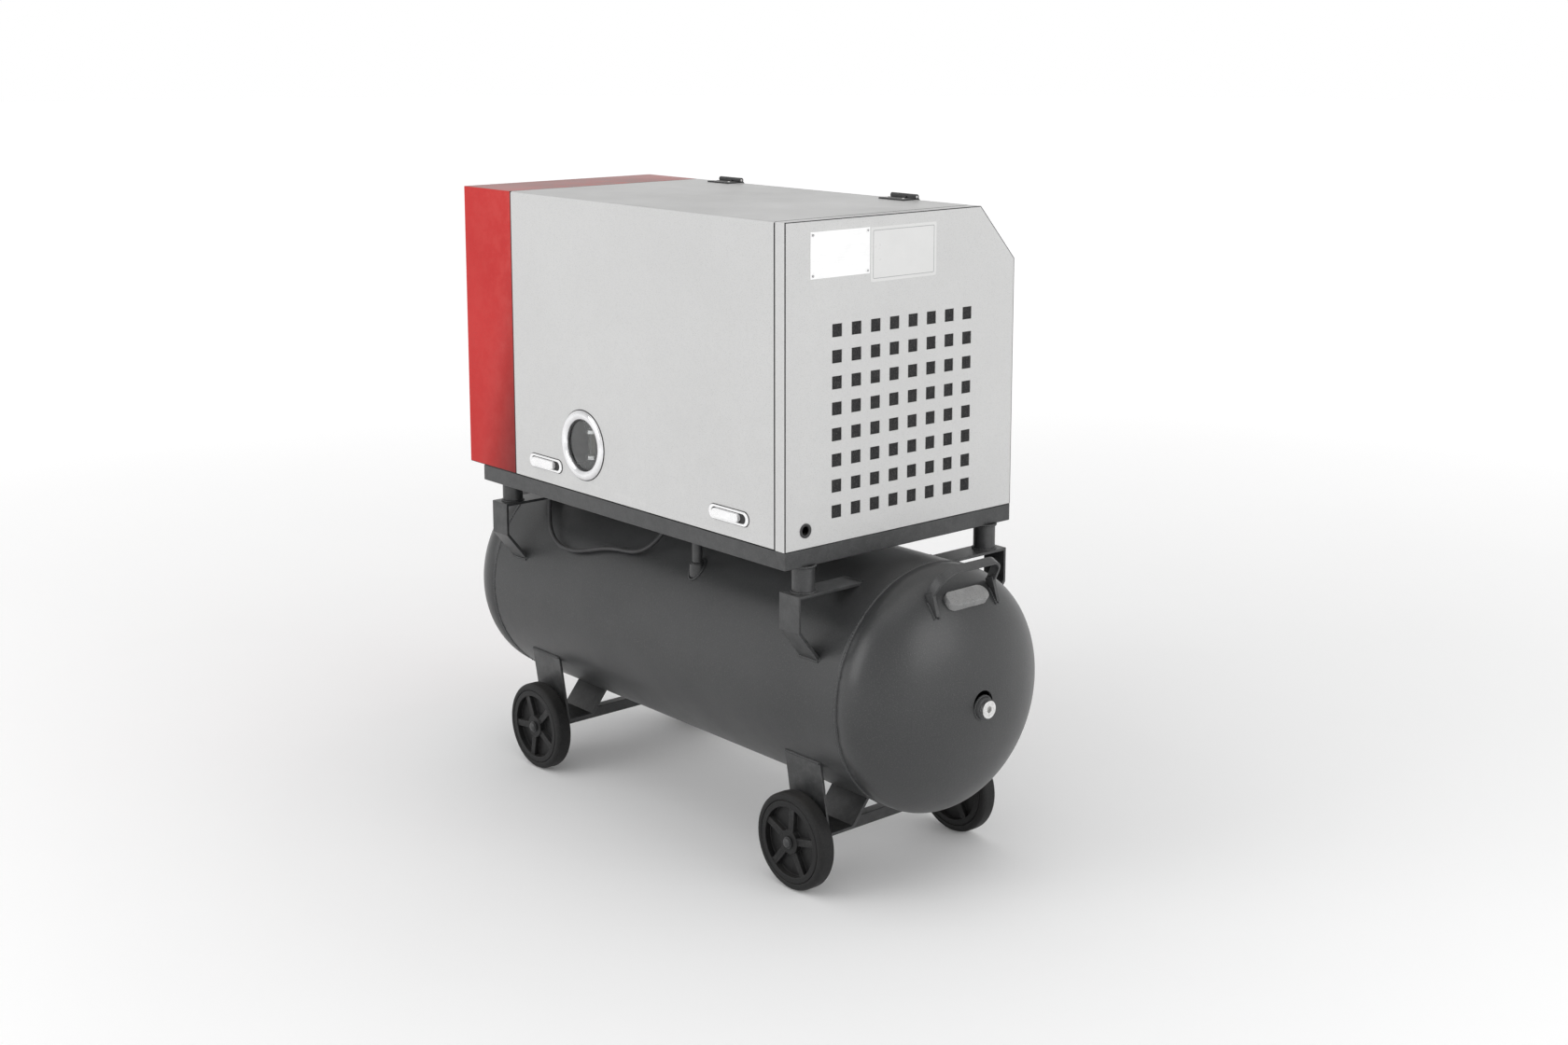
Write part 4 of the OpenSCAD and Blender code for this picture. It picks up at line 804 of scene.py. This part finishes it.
# ---- Cable grommet ----
# A moulded rubber ring with a rolled lip and a tapered throat, snapped into a round hole
# in the end panel to keep a cable off the sheet's edge.
moulded_black = coated(
    "moulded_black", 0.00025, colour=(0.022, 0.022, 0.023), shade=(0.017, 0.017, 0.018), mottle=30.0, speckle=0.035,
    speckle_size=900.0, dust_and_top_light=(0.16, 0.155, 0.15), dust_and_top_light_amount=0.15, skin=900.0, rough=(0.34, 0.48))
lip = [(0.0080, 0.5187), (0.0123, 0.5187), (0.0124, 0.5206), (0.0142, 0.5206), (0.0145, 0.5210), (0.0144, 0.5218),
       (0.0138, 0.5224), (0.0125, 0.5225), (0.0104, 0.5224), (0.0092, 0.5217), (0.0084, 0.5204)]
grommet = spun("cable_grommet_ring", lip, moulded_black, (0, -0.262, 0.757), (1, 0, 0), closed=True)
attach(grommet, "root")
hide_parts("cable_grommet")


# ---- Rating plate and label ----
# A thin anodised plate held by four rivets, and beside it a white self-adhesive label.
# Both are left blank: the label has only a plain printed frame.
plate_bright = metalled(
    "plate_bright", 0.00004, colour=0.9, stain=0.72, grain=(20.0, 20.0, 900.0), stain_size=25.0, stain_amount=0.35,
    rough=(0.34, 0.46), plain={"Metallic": 0.35})
crisp("rating_plate", "rating_plate_sheet", plate_bright, 0.00025, "root")
rivet_grey = metalled(
    "rivet_grey", 0.00003, colour=(0.42, 0.42, 0.43), stain=0.22, grain=(400.0, 400.0, 400.0), stain_size=160.0,
    stain_amount=0.5, rough=(0.25, 0.4))
plate_points = [v.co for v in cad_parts["rating_plate"].data.vertices]
plate_x, rivet_inset = max(p.x for p in plate_points), 0.006
plate_y, plate_z = [(min(p[i] for p in plate_points) + rivet_inset, max(p[i] for p in plate_points) - rivet_inset)
                    for i in (1, 2)]
rivet = [(0, -0.0002), (0.0022, -0.0002), (0.0023, 0.0002), (0.0018, 0.0007), (0.001, 0.001), (0, 0.0011)]
rivets = joined("plate_rivets", [spun("rivet", rivet, rivet_grey, (plate_x, y, z), (1, 0, 0), steps=24)
                                 for y in plate_y for z in plate_z])
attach(rivets, "root")
label_white = coated(
    "label_white", 0.00005, colour=(0.66, 0.66, 0.655), shade=(0.62, 0.62, 0.615), mottle=12.0,
    speckle=(0.6, 0.6, 0.595), speckle_size=1500.0, dust_and_top_light=(0.6, 0.59, 0.57), dust_and_top_light_amount=0.1, skin=900.0,
    rough=(0.26, 0.36))
label_ink = coated(
    "label_ink", 0.00005, colour=(0.32, 0.32, 0.33), shade=(0.26, 0.26, 0.27), mottle=60.0, speckle=0.5,
    speckle_size=2200.0, dust_and_top_light=(0.6, 0.59, 0.57), dust_and_top_light_amount=0.05, skin=900.0, rough=(0.3, 0.4))


def rounded(width, height, radius, count=6):
    """Points of a rectangle with round corners, about its middle."""
    return [(sx * (width / 2 - radius) + radius * math.cos(a), sz * (height / 2 - radius) + radius * math.sin(a))
            for sx, sz, first in ((1, 1, 0), (-1, 1, 90), (-1, -1, 180), (1, -1, 270))
            for a in (math.radians(first + 90 * i / count) for i in range(count + 1))]


def film(name, outline, hole, x, y, z, thick, finish):
    """A thin sheet lying on the end panel, with or without a hole of the same number of points."""
    count, points, faces = len(outline), [], []
    for loop, height in ((outline, 0.0), (outline, thick), (hole, thick), (hole, 0.0)):
        points += [(x + height, y + u, z + v) for u, v in (loop or [])]
    for a, b in ((0, 1), (1, 2), (2, 3), (3, 0)) if hole else ((0, 1),):
        faces += [(a * count + i, a * count + (i + 1) % count, b * count + (i + 1) % count, b * count + i)
                  for i in range(count)]
    if not hole:
        faces += [tuple(reversed(range(count))), tuple(range(count, 2 * count))]
    return solid(name, points, faces, finish, smooth=False)


label_at = (-0.0045, 1.279)
label = joined("blank_label", [
    film("label_film", rounded(0.179, 0.107, 0.004), None, 0.5205, *label_at, 0.0003, label_white),
    film("label_frame", rounded(0.167, 0.095, 0.003), rounded(0.1646, 0.0926, 0.002), 0.5207, *label_at, 0.0002,
         label_ink)])
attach(label, "root")


# ---- Observation window ----
# A polished ring over a round clear pane, with a thin black gasket between them. The
# pane is set in the hood so that the oil level can be read with the hood shut.
ring_chrome = metalled(
    "ring_chrome", 0.00003, colour=(0.86, 0.86, 0.87), stain=(0.62, 0.62, 0.63), grain=(300.0, 300.0, 300.0),
    stain_size=35.0, stain_amount=0.25, rough=(0.05, 0.12))
window_at = (-0.1395, -0.314, 0.8275)
ring_section = [(0.0560, 0.0100), (0.0617, 0.0100), (0.0617, 0.0000), (0.0752, 0.0000), (0.0758, -0.0006),
                (0.0760, -0.0018), (0.0752, -0.0032), (0.0735, -0.0048), (0.0712, -0.0062), (0.0685, -0.0069),
                (0.0655, -0.0070), (0.0628, -0.0066), (0.0605, -0.0058), (0.0584, -0.0046), (0.0568, -0.0034),
                (0.0561, -0.0020)]
ring_piece = spun("window_ring_polished", ring_section, ring_chrome, window_at, (0, 1, 0), steps=144, closed=True)
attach(ring_piece, "hood_body")
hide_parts("window_ring")
# A thin black ring, a little wider than the polished ring, paints the shadow line round its edge.
shadow_outline = spun("window_seat", [(0.0748, 0.0), (0.0748, -0.0008), (0.0772, -0.0008), (0.0776, 0.0)], painted_shade_black, window_at,
            (0, 1, 0), steps=144, closed=True)
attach(shadow_outline, "hood_body")
gasket = spun("window_gasket", [(0.0532, 0.0016), (0.0560, 0.0012), (0.0560, 0.0030), (0.0528, 0.0030)],
              moulded_black, window_at, (0, 1, 0), steps=96, closed=True)
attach(gasket, "hood_body")


def glazed(name, tint, rough_low, rough_high):
    """Clear glass or acrylic, smeared a little so that its gloss varies."""
    finish, tree, surface = new_finish(name)
    skin = add(tree, "ShaderNodeGroup", {"Colour": tint, "Shade": tint, "Mottle": 30.0, "Speckle": tint,
                                         "Dust and top light amount": 0.0, "Skin": 60.0, "Smooth": rough_low, "Rough": rough_high},
               node_tree=coat_tree)
    tree.links.new(skin.outputs["Colour"], surface.inputs["Base Color"])
    tree.links.new(skin.outputs["Roughness"], surface.inputs["Roughness"])
    surface.inputs["Transmission Weight"].default_value = 1.0
    surface.inputs["IOR"].default_value = 1.46
    return finish


window_clear = glazed("window_clear", (0.96, 0.98, 0.98, 1), 0.0, 0.05)
pane = spun("window_pane", [(0, 0.0030), (0.0552, 0.0030), (0.0558, 0.0036), (0.0558, 0.0054), (0.0552, 0.0060),
                            (0, 0.0060)], window_clear, window_at, (0, 1, 0), steps=96)
sharpen(pane, 40)
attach(pane, "hood_body")
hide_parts("window_glass")


# ---- Hood latches ----
# Die-cast latches with a silver lacquer: a cupped bezel with a thin black outline of painted shadow round it,
# a bar that turns on an upright pin, and a dark key barrel with its slot in the bar's left end.
latch_lacquer = coated(
    "latch_lacquer", 0.0001, colour=(0.88, 0.88, 0.885), shade=(0.8, 0.8, 0.805), mottle=40.0, speckle=0.92,
    speckle_size=1400.0, dust_and_top_light=(0.5, 0.49, 0.48), dust_and_top_light_amount=0.1, skin=800.0, rough=(0.22, 0.32),
    rub=(0.95, 0.6, 120.0), plain={"Metallic": 0.35})
crisp("latch_bezels", "latch_bezel_cups", latch_lacquer, 0.0007, "hood_body", segments=3)
barrel_steel = metalled(
    "barrel_steel", 0.00004, colour=(0.3, 0.3, 0.31), stain=(0.14, 0.14, 0.135), grain=(500.0, 500.0, 500.0),
    stain_size=200.0, stain_amount=0.5, rough=(0.3, 0.45))
latch_z, key_dx = 0.7655, -0.037
barrel_end = [(0, -0.3229), (0.0056, -0.3229), (0.006, -0.3226), (0.0062, -0.3218), (0.0062, -0.3205)]


def slab(name, outline, x, near, far, finish):
    """A closed plate of this outline at a latch's height, from near to far along Y."""
    count = len(outline)
    points = [(x + u, y, latch_z + v) for y in (near, far) for u, v in outline]
    faces = [(i, (i + 1) % count, count + (i + 1) % count, count + i) for i in range(count)]
    faces += [tuple(range(count)), tuple(reversed(range(count, 2 * count)))]
    return solid(name, points, faces, finish, smooth=False)


for side, x in (("left", -0.2795), ("right", 0.3525)):
    # A thin black plate a little larger than the bezel paints the shadow round it.
    shadow_outline = slab(f"latch_seat_{side}", rounded(0.1246, 0.0316, 0.0157, 16), x, -0.31395, -0.3147, painted_shade_black)
    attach(shadow_outline, "hood_body")
    crisp(f"latch_bar_{side}", f"latch_pull_bar_{side}", latch_lacquer, 0.0012, f"latch_{side}",
          segments=3)
    barrel = spun("key_barrel", barrel_end, moulded_black, (x + key_dx, 0, latch_z), (0, 1, 0), steps=48)
    key_slot = slab("key_slot", rounded(0.0022, 0.0076, 0.0008, 3), x + key_dx, -0.32297, -0.3222, barrel_steel)
    lock = joined(f"key_barrel_{side}", [barrel, key_slot])
    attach(lock, f"latch_{side}")


# ---- Hinges ----
# Two moulded black butt hinges on the ridge, each on a plain steel pin, held down by
# countersunk cross-head screws in both leaves.
crisp("hinge_fixed_leaves", "hinge_leaves_fixed", moulded_black, 0.0003, "root", clamp=True)
crisp("hinge_moving_leaves", "hinge_leaves_moving", moulded_black, 0.0003, "hood_body", segments=3,
      clamp=True)
crisp("hinge_pins", "hinge_pin_rods", axle_steel, 0.0006, "root")


def fixing_group():
    """One fixing set on each given point, standing along the point's 'facing' vector."""
    tree, given, out = geometry_group("fixings", [("Head", "Object", None), ("Size", "Float", 1.0), ("Seed", "Int", 3)])
    head = add(tree, "GeometryNodeObjectInfo", {"Object": given["Head"]})
    facing = add(tree, "GeometryNodeInputNamedAttribute", {"Name": "facing"}, data_type="FLOAT_VECTOR")
    spin = add(tree, "FunctionNodeRandomValue", {"Seed": given["Seed"]}, data_type="FLOAT")
    spin.inputs[2].default_value, spin.inputs[3].default_value = 0.0, 2 * math.pi
    start = add(tree, "ShaderNodeCombineXYZ", {2: spin.outputs[1]})
    stood = add(tree, "FunctionNodeAlignRotationToVector", {"Rotation": start.outputs[0], "Vector": facing.outputs[0]},
                axis="Z")
    placed = add(tree, "GeometryNodeInstanceOnPoints",
                 {"Points": given["Geometry"], "Instance": head.outputs["Geometry"],
                  "Rotation": stood.outputs[0], "Scale": given["Size"]})
    return close_group(tree, given, out, placed.outputs[0])


fixing_tree = fixing_group()


def fixings(name, head, places, finish, body, size=1.0):
    """Fixings of one kind on one body. Each place is (point, facing)."""
    mesh = bpy.data.meshes.new(name)
    mesh.from_pydata([p for p, _ in places], [], [])
    mesh.attributes.new("facing", "FLOAT_VECTOR", "POINT").data.foreach_set("vector", [c for _, f in places for c in f])
    piece = grown(name, fixing_tree, mesh, {"Head": head, "Size": size, "Finish": finish})
    sharpen(piece, 35)
    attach(piece, body)


def hex_head(name, radius, height, washer):
    """A hexagon bolt head with a chamfered top on a round washer, at the origin and facing up."""
    disc = spun(name, [(0, 0.0), (washer, 0.0), (washer, 0.0012), (radius, 0.0012)], axle_steel, (0, 0, 0), (0, 0, 1),
                steps=32)
    low = [(radius * math.cos(a), radius * math.sin(a)) for a in (math.pi * k / 3 for k in range(6))]
    points = [(x * s, y * s, z) for s, z in ((1.0, 0.0012), (1.0, height * 0.85), (0.86, height)) for x, y in low]
    faces = [(r * 6 + k, r * 6 + (k + 1) % 6, r * 6 + 6 + (k + 1) % 6, r * 6 + 6 + k) for r in (0, 1) for k in range(6)]
    faces += [tuple(range(12, 18)), tuple(reversed(range(6)))]
    return joined(name, [disc, solid("hexagon", points, faces, axle_steel, smooth=False)])


screw_head = spun("screw_head", [(0, 0.0), (0.0030, 0.0), (0.0030, 0.0003), (0.0024, 0.0011), (0.0012, 0.0013),
                                 (0.0009, 0.0005), (0, 0.0005)], axle_steel, (0, 0, 0), (0, 0, 1), steps=20)
bolt_head = hex_head("bolt_head", 0.0062, 0.0060, 0.0085)
lean = math.atan2(0.114, 0.102)
ridge_y, ridge_z, down, proud = 0.212, 1.3555, 0.022, 0.003
moving_screws, fixed_screws = [], []
for x in (-0.2755, 0.2985):
    for step in (-0.024, 0.024):
        moving_screws.append(((x + step, 0.185, ridge_z + proud), (0, 0, 1)))
        fixed_screws.append(((x + step, ridge_y + down * math.cos(lean) + proud * math.sin(lean),
                              ridge_z - down * math.sin(lean) + proud * math.cos(lean)),
                             (0, math.sin(lean), math.cos(lean))))
fixings("hinge_screws_moving", screw_head, moving_screws, fitting_zinc, "hood_body")
fixings("hinge_screws_fixed", screw_head, fixed_screws, fitting_zinc, "root")


# ---- Controller and stop button ----
# The front cover's controller is a black moulded face with a dark screen and plain round
# keys. The red mushroom button beside it presses in and springs back.
crisp("control_panel", "controller_face", moulded_black, 0.0012, "root", segments=3)
screen_dark = coated(
    "screen_dark", 0.00005, colour=(0.012, 0.02, 0.022), shade=(0.018, 0.028, 0.03), mottle=25.0,
    speckle=(0.02, 0.03, 0.03), speckle_size=1500.0, dust_and_top_light=0.1, dust_and_top_light_amount=0.1, skin=300.0, rough=(0.06, 0.12))
key_grey = coated(
    "key_grey", 0.0001, colour=(0.45, 0.45, 0.46), shade=(0.38, 0.38, 0.39), mottle=60.0, speckle=0.3,
    speckle_size=900.0, dust_and_top_light=(0.5, 0.49, 0.47), dust_and_top_light_amount=0.1, skin=900.0, rough=(0.35, 0.5))
screen = film("controller_screen", rounded(0.090, 0.044, 0.003), None, -0.5910, 0.005, 1.2430, 0.0006, screen_dark)
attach(screen, "root")
key_cap = [(0, 0.0), (0.0058, 0.0), (0.0058, 0.0010), (0.0050, 0.0018), (0.0020, 0.0013), (0, 0.0012)]
key_head = spun("key_head", key_cap, key_grey, (0, 0, 0), (0, 0, 1), steps=32)
key_ys = (-0.055, -0.025, 0.005, 0.035, 0.065)
fixings("controller_keys", key_head, [((-0.5905, y, 1.1950), (-1, 0, 0)) for y in key_ys], key_grey, "root")
button_red = coated(
    "button_red", 0.0001, colour=(0.56, 0.02, 0.014), shade=(0.48, 0.016, 0.012), mottle=40.0,
    speckle=(0.5, 0.03, 0.02), speckle_size=800.0, dust_and_top_light=(0.6, 0.4, 0.38), dust_and_top_light_amount=0.15, skin=500.0,
    rough=(0.16, 0.26))
mushroom = [(0, 0.0300), (0.0105, 0.0300), (0.0112, 0.0293), (0.0112, -0.0080), (0.0180, -0.0080), (0.0190, -0.0092),
            (0.0190, -0.0150), (0.0180, -0.0190), (0.0150, -0.0220), (0.0100, -0.0236), (0.0050, -0.0240), (0, -0.0240)]
button = sharpen(spun("stop_mushroom", mushroom, button_red, (-0.5875, -0.120, 1.2255), (1, 0, 0), steps=64), 40)
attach(button, "stop_body")
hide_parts("stop_button")


# ---- Motor ----
# A foot-mounted finned motor in blue enamel, with a capped terminal box on top. Its
# bright shaft carries a cast pulley with two belt grooves.
motor_blue = coated(
    "motor_blue", 0.0003, colour=(0.02, 0.055, 0.16), shade=(0.016, 0.042, 0.12), mottle=14.0,
    speckle=(0.03, 0.07, 0.17), speckle_size=400.0, dust_and_top_light=(0.3, 0.29, 0.27), dust_and_top_light_amount=0.35, skin=220.0,
    rough=(0.24, 0.42), rub=((0.3, 0.3, 0.31), 0.35, 60.0))
crisp("motor_body", "motor_frame", motor_blue, 0.0010, "root")
crisp("motor_shaft", "motor_shaft_pulley", axle_steel, 0.0008, "motor_rotor")
motor_x, motor_z, shield_r = 0.270, 0.878, 0.094
fixings("motor_bolts", bolt_head,
        [((motor_x + sx * 0.032, y, 1.0280), (0, 0, 1)) for sx in (-1, 1) for y in (-0.085, -0.015)]
        + [((motor_x + shield_r * math.cos(a), -0.1898, motor_z + shield_r * math.sin(a)), (0, -1, 0))
           for a in (math.radians(45 + 90 * k) for k in range(4))], fitting_zinc, "root", size=0.8)


# ---- Screw unit, filters and separator ----
# The cast screw unit under its intake filter, two spin-on filters on their stand, and
# the black oil separator with a flanged lid and a clear sight tube.
cast_grey = coated(
    "cast_grey", 0.0008, colour=(0.21, 0.215, 0.22), shade=(0.15, 0.155, 0.16), mottle=22.0, speckle=0.28,
    speckle_size=300.0, dust_and_top_light=(0.3, 0.28, 0.25), dust_and_top_light_amount=0.3, skin=260.0, rough=(0.42, 0.62),
    rub=(0.42, 0.5, 80.0), plain={"Metallic": 0.4})
filter_white = coated(
    "filter_white", 0.0001, colour=(0.7, 0.7, 0.68), shade=(0.64, 0.64, 0.62), mottle=16.0,
    speckle=(0.58, 0.58, 0.56), speckle_size=900.0, dust_and_top_light=(0.42, 0.4, 0.36), dust_and_top_light_amount=0.3, skin=500.0,
    rough=(0.2, 0.34))
belt_rubber = coated(
    "belt_rubber", 0.0004, colour=0.02, shade=(0.03, 0.029, 0.028), mottle=50.0, speckle=(0.06, 0.055, 0.05),
    speckle_size=500.0, dust_and_top_light=(0.16, 0.14, 0.12), dust_and_top_light_amount=0.3, skin=900.0, rough=(0.55, 0.7))
crisp("airend", "screw_unit_casting", cast_grey, 0.0016, "root")
crisp("airend_shaft", "screw_unit_pulley", axle_steel, 0.0008, "airend_rotor")
crisp("drive_belts", "drive_belt_pair", belt_rubber, 0.0008, "root")
crisp("separator_tank", "oil_separator", tank_black, 0.0014, "root", segments=3)
crisp("oil_filters", "spin_on_filters", filter_white, 0.0030, "root", segments=3)
crisp("intake_filter", "intake_filter_case", moulded_black, 0.0024, "root", segments=3)
lid_x, lid_y, lid_z, lid_r = -0.1435, -0.172, 1.1365, 0.084
fixings("separator_lid_bolts", bolt_head,
        [((lid_x + lid_r * math.cos(a), lid_y + lid_r * math.sin(a), lid_z), (0, 0, 1))
         for a in (math.radians(30 + 60 * k) for k in range(6))], fitting_zinc, "root")
sight_clear = glazed("sight_clear", (0.93, 0.90, 0.72, 1), 0.02, 0.10)
sight_at = (-0.1675, -0.270, 0.8195)
sight_wall = [(0, -0.0330), (0.0066, -0.0330), (0.0070, -0.0326), (0.0070, 0.0326), (0.0066, 0.0330), (0, 0.0330)]
sight = spun("sight_tube_glass", sight_wall, sight_clear, sight_at, (0, 0, 1), steps=48)
sharpen(sight, 40)
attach(sight, "root")
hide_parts("sight_tube")
gland = [(0.0075, -0.0045), (0.0122, -0.0045), (0.0128, -0.0038), (0.0128, 0.0038), (0.0122, 0.0045), (0.0075, 0.0045)]
glands = joined("sight_tube_glands", [
    spun("gland", gland, fitting_zinc, (*sight_at[:2], sight_at[2] + end), (0, 0, 1), steps=6, closed=True)
    for end in (-0.0285, 0.0285)])
for face in glands.data.polygons:
    face.use_smooth = False
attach(glands, "root")


# ---- Cooler and fan ----
# A brazed aluminium plate-fin block in a sheet shroud, with a pale moulded seven-blade
# fan drawing air out through the slots in the far side.
cooler_bright = metalled(
    "cooler_bright", 0.0002, colour=(0.66, 0.67, 0.68), stain=(0.38, 0.38, 0.37), grain=(60.0, 60.0, 700.0),
    stain_size=20.0, stain_amount=0.5, rough=(0.3, 0.48))
fan_moulded = coated(
    "fan_moulded", 0.0002, colour=(0.6, 0.6, 0.57), shade=(0.52, 0.52, 0.49), mottle=20.0, speckle=(0.45, 0.45, 0.42),
    speckle_size=700.0, dust_and_top_light=(0.25, 0.24, 0.22), dust_and_top_light_amount=0.35, skin=500.0, rough=(0.28, 0.42))
crisp("cooler", "cooler_block", cooler_bright, 0.0012, "root")
crisp("fan", "fan_wheel", fan_moulded, 0.0006, "fan_rotor")


def fin_group():
    """Thin plates in a row along X, one each pitch."""
    tree, given, out = geometry_group("cooler fins", [("Count", "Int", 100), ("Pitch", "Float", 0.004),
                                                      ("Plate", "Vector", (0.0006, 0.002, 0.25))])
    step = add(tree, "ShaderNodeCombineXYZ", {0: given["Pitch"]})
    row = add(tree, "GeometryNodeMeshLine", {"Count": given["Count"], "Offset": step.outputs[0]}, mode="OFFSET")
    plate = add(tree, "GeometryNodeMeshCube", {"Size": given["Plate"]})
    fins = add(tree, "GeometryNodeInstanceOnPoints", {"Points": row.outputs[0], "Instance": plate.outputs[0]})
    return close_group(tree, given, out, fins.outputs[0], smooth=False)


fin_tree = fin_group()
fin_rows = []
for rank in range(4):
    fins = grown("fin_row", fin_tree, bpy.data.meshes.new("fin_seed"),
                 {"Count": 92, "Pitch": 0.0042, "Plate": (0.0006, 0.0016, 0.058), "Finish": cooler_bright})
    fins.data.transform(Matrix.Translation((-0.0711, 0.2828, 1.0355 + rank * 0.0665)))
    fin_rows.append(fins)
fin_set = joined("cooler_fins", fin_rows)
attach(fin_set, "root")


# ---- Electrics ----
# A galvanised back plate with four contactors and two larger drives behind the front
# cover, in grey moulded cases.
switch_grey = coated(
    "switch_grey", 0.0002, colour=(0.4, 0.41, 0.42), shade=(0.34, 0.35, 0.36), mottle=22.0, speckle=(0.3, 0.3, 0.31),
    speckle_size=700.0, dust_and_top_light=(0.5, 0.48, 0.45), dust_and_top_light_amount=0.25, skin=600.0, rough=(0.36, 0.52),
    rub=(0.55, 0.3, 90.0))
crisp("electrics_box", "switchgear", switch_grey, 0.0014, "root")

# The loose screw, bolt and key were only patterns for the fixing sets.
for pattern in (screw_head, bolt_head, key_head):
    bpy.data.objects.remove(pattern)


# ---- Floor, light and surroundings ----
# A wide pale floor that glows faintly further out, so that it meets the sky without a
# line, and three soft boxes: overhead, off the side that opens and off the grille end.
def softbox(name, place, aim, size, power):
    """A square area light at place that faces aim."""
    lamp = bpy.data.lights.new(name, "AREA")
    lamp.shape = "SQUARE"
    lamp.size = size
    lamp.energy = power
    box = bpy.data.objects.new(name, lamp)
    box.location = place
    box.rotation_mode = "QUATERNION"
    box.rotation_quaternion = (Vector(aim) - Vector(place)).to_track_quat("-Z", "Y")
    bpy.context.scene.collection.objects.link(box)


softbox("overhead", (0.2, -0.4, 4.2), (0.0, 0.0, 0.7), 4.0, 30)
softbox("near_side", (-1.2, -4.4, 2.6), (0.0, 0.0, 0.8), 3.0, 55)
softbox("grille_end", (4.6, 0.8, 2.2), (0.2, 0.0, 0.7), 2.6, 45)
sky = bpy.data.worlds.new("sky")
sky.use_nodes = True
tree = sky.node_tree
height = add(tree, "ShaderNodeSeparateXYZ", {0: add(tree, "ShaderNodeTexCoord").outputs["Generated"]}).outputs["Z"]
paling = spread(tree, height, 0.05, 0.9, 0.0, 1.0)
tree.links.new(mix(tree, paling, (1.0, 1.0, 1.0, 1), (0.60, 0.60, 0.60, 1)), tree.nodes["Background"].inputs["Color"])
tree.nodes["Background"].inputs["Strength"].default_value = 1.0
bpy.context.scene.world = sky
bpy.context.scene.view_settings.view_transform = "Standard"

floor_white = coated(
    "floor_white", 0.0002, colour=0.88, shade=0.86, mottle=0.6, speckle=0.87, speckle_size=300.0, dust_and_top_light=0.88,
    dust_and_top_light_amount=0.0, skin=60.0, rough=(0.85, 0.95), plain={"Emission Strength": 1.0, "Specular IOR Level": 0.1})
tree = floor_white.node_tree
reach = add(tree, "ShaderNodeVectorMath", {0: add(tree, "ShaderNodeTexCoord").outputs["Object"]},
            operation="LENGTH").outputs["Value"]
glow = mix(tree, spread(tree, reach, 1.0, 6.0, 0.0, 1.0), (0.04, 0.04, 0.04, 1), (0.42, 0.42, 0.42, 1))
tree.links.new(glow, tree.nodes["Principled BSDF"].inputs["Emission Color"])
floor_r = 40.0
floor = spun("floor", [(0, 0.0), (floor_r, 0.0)], floor_white, (0, 0, -0.0005), (0, 0, 1), steps=96)
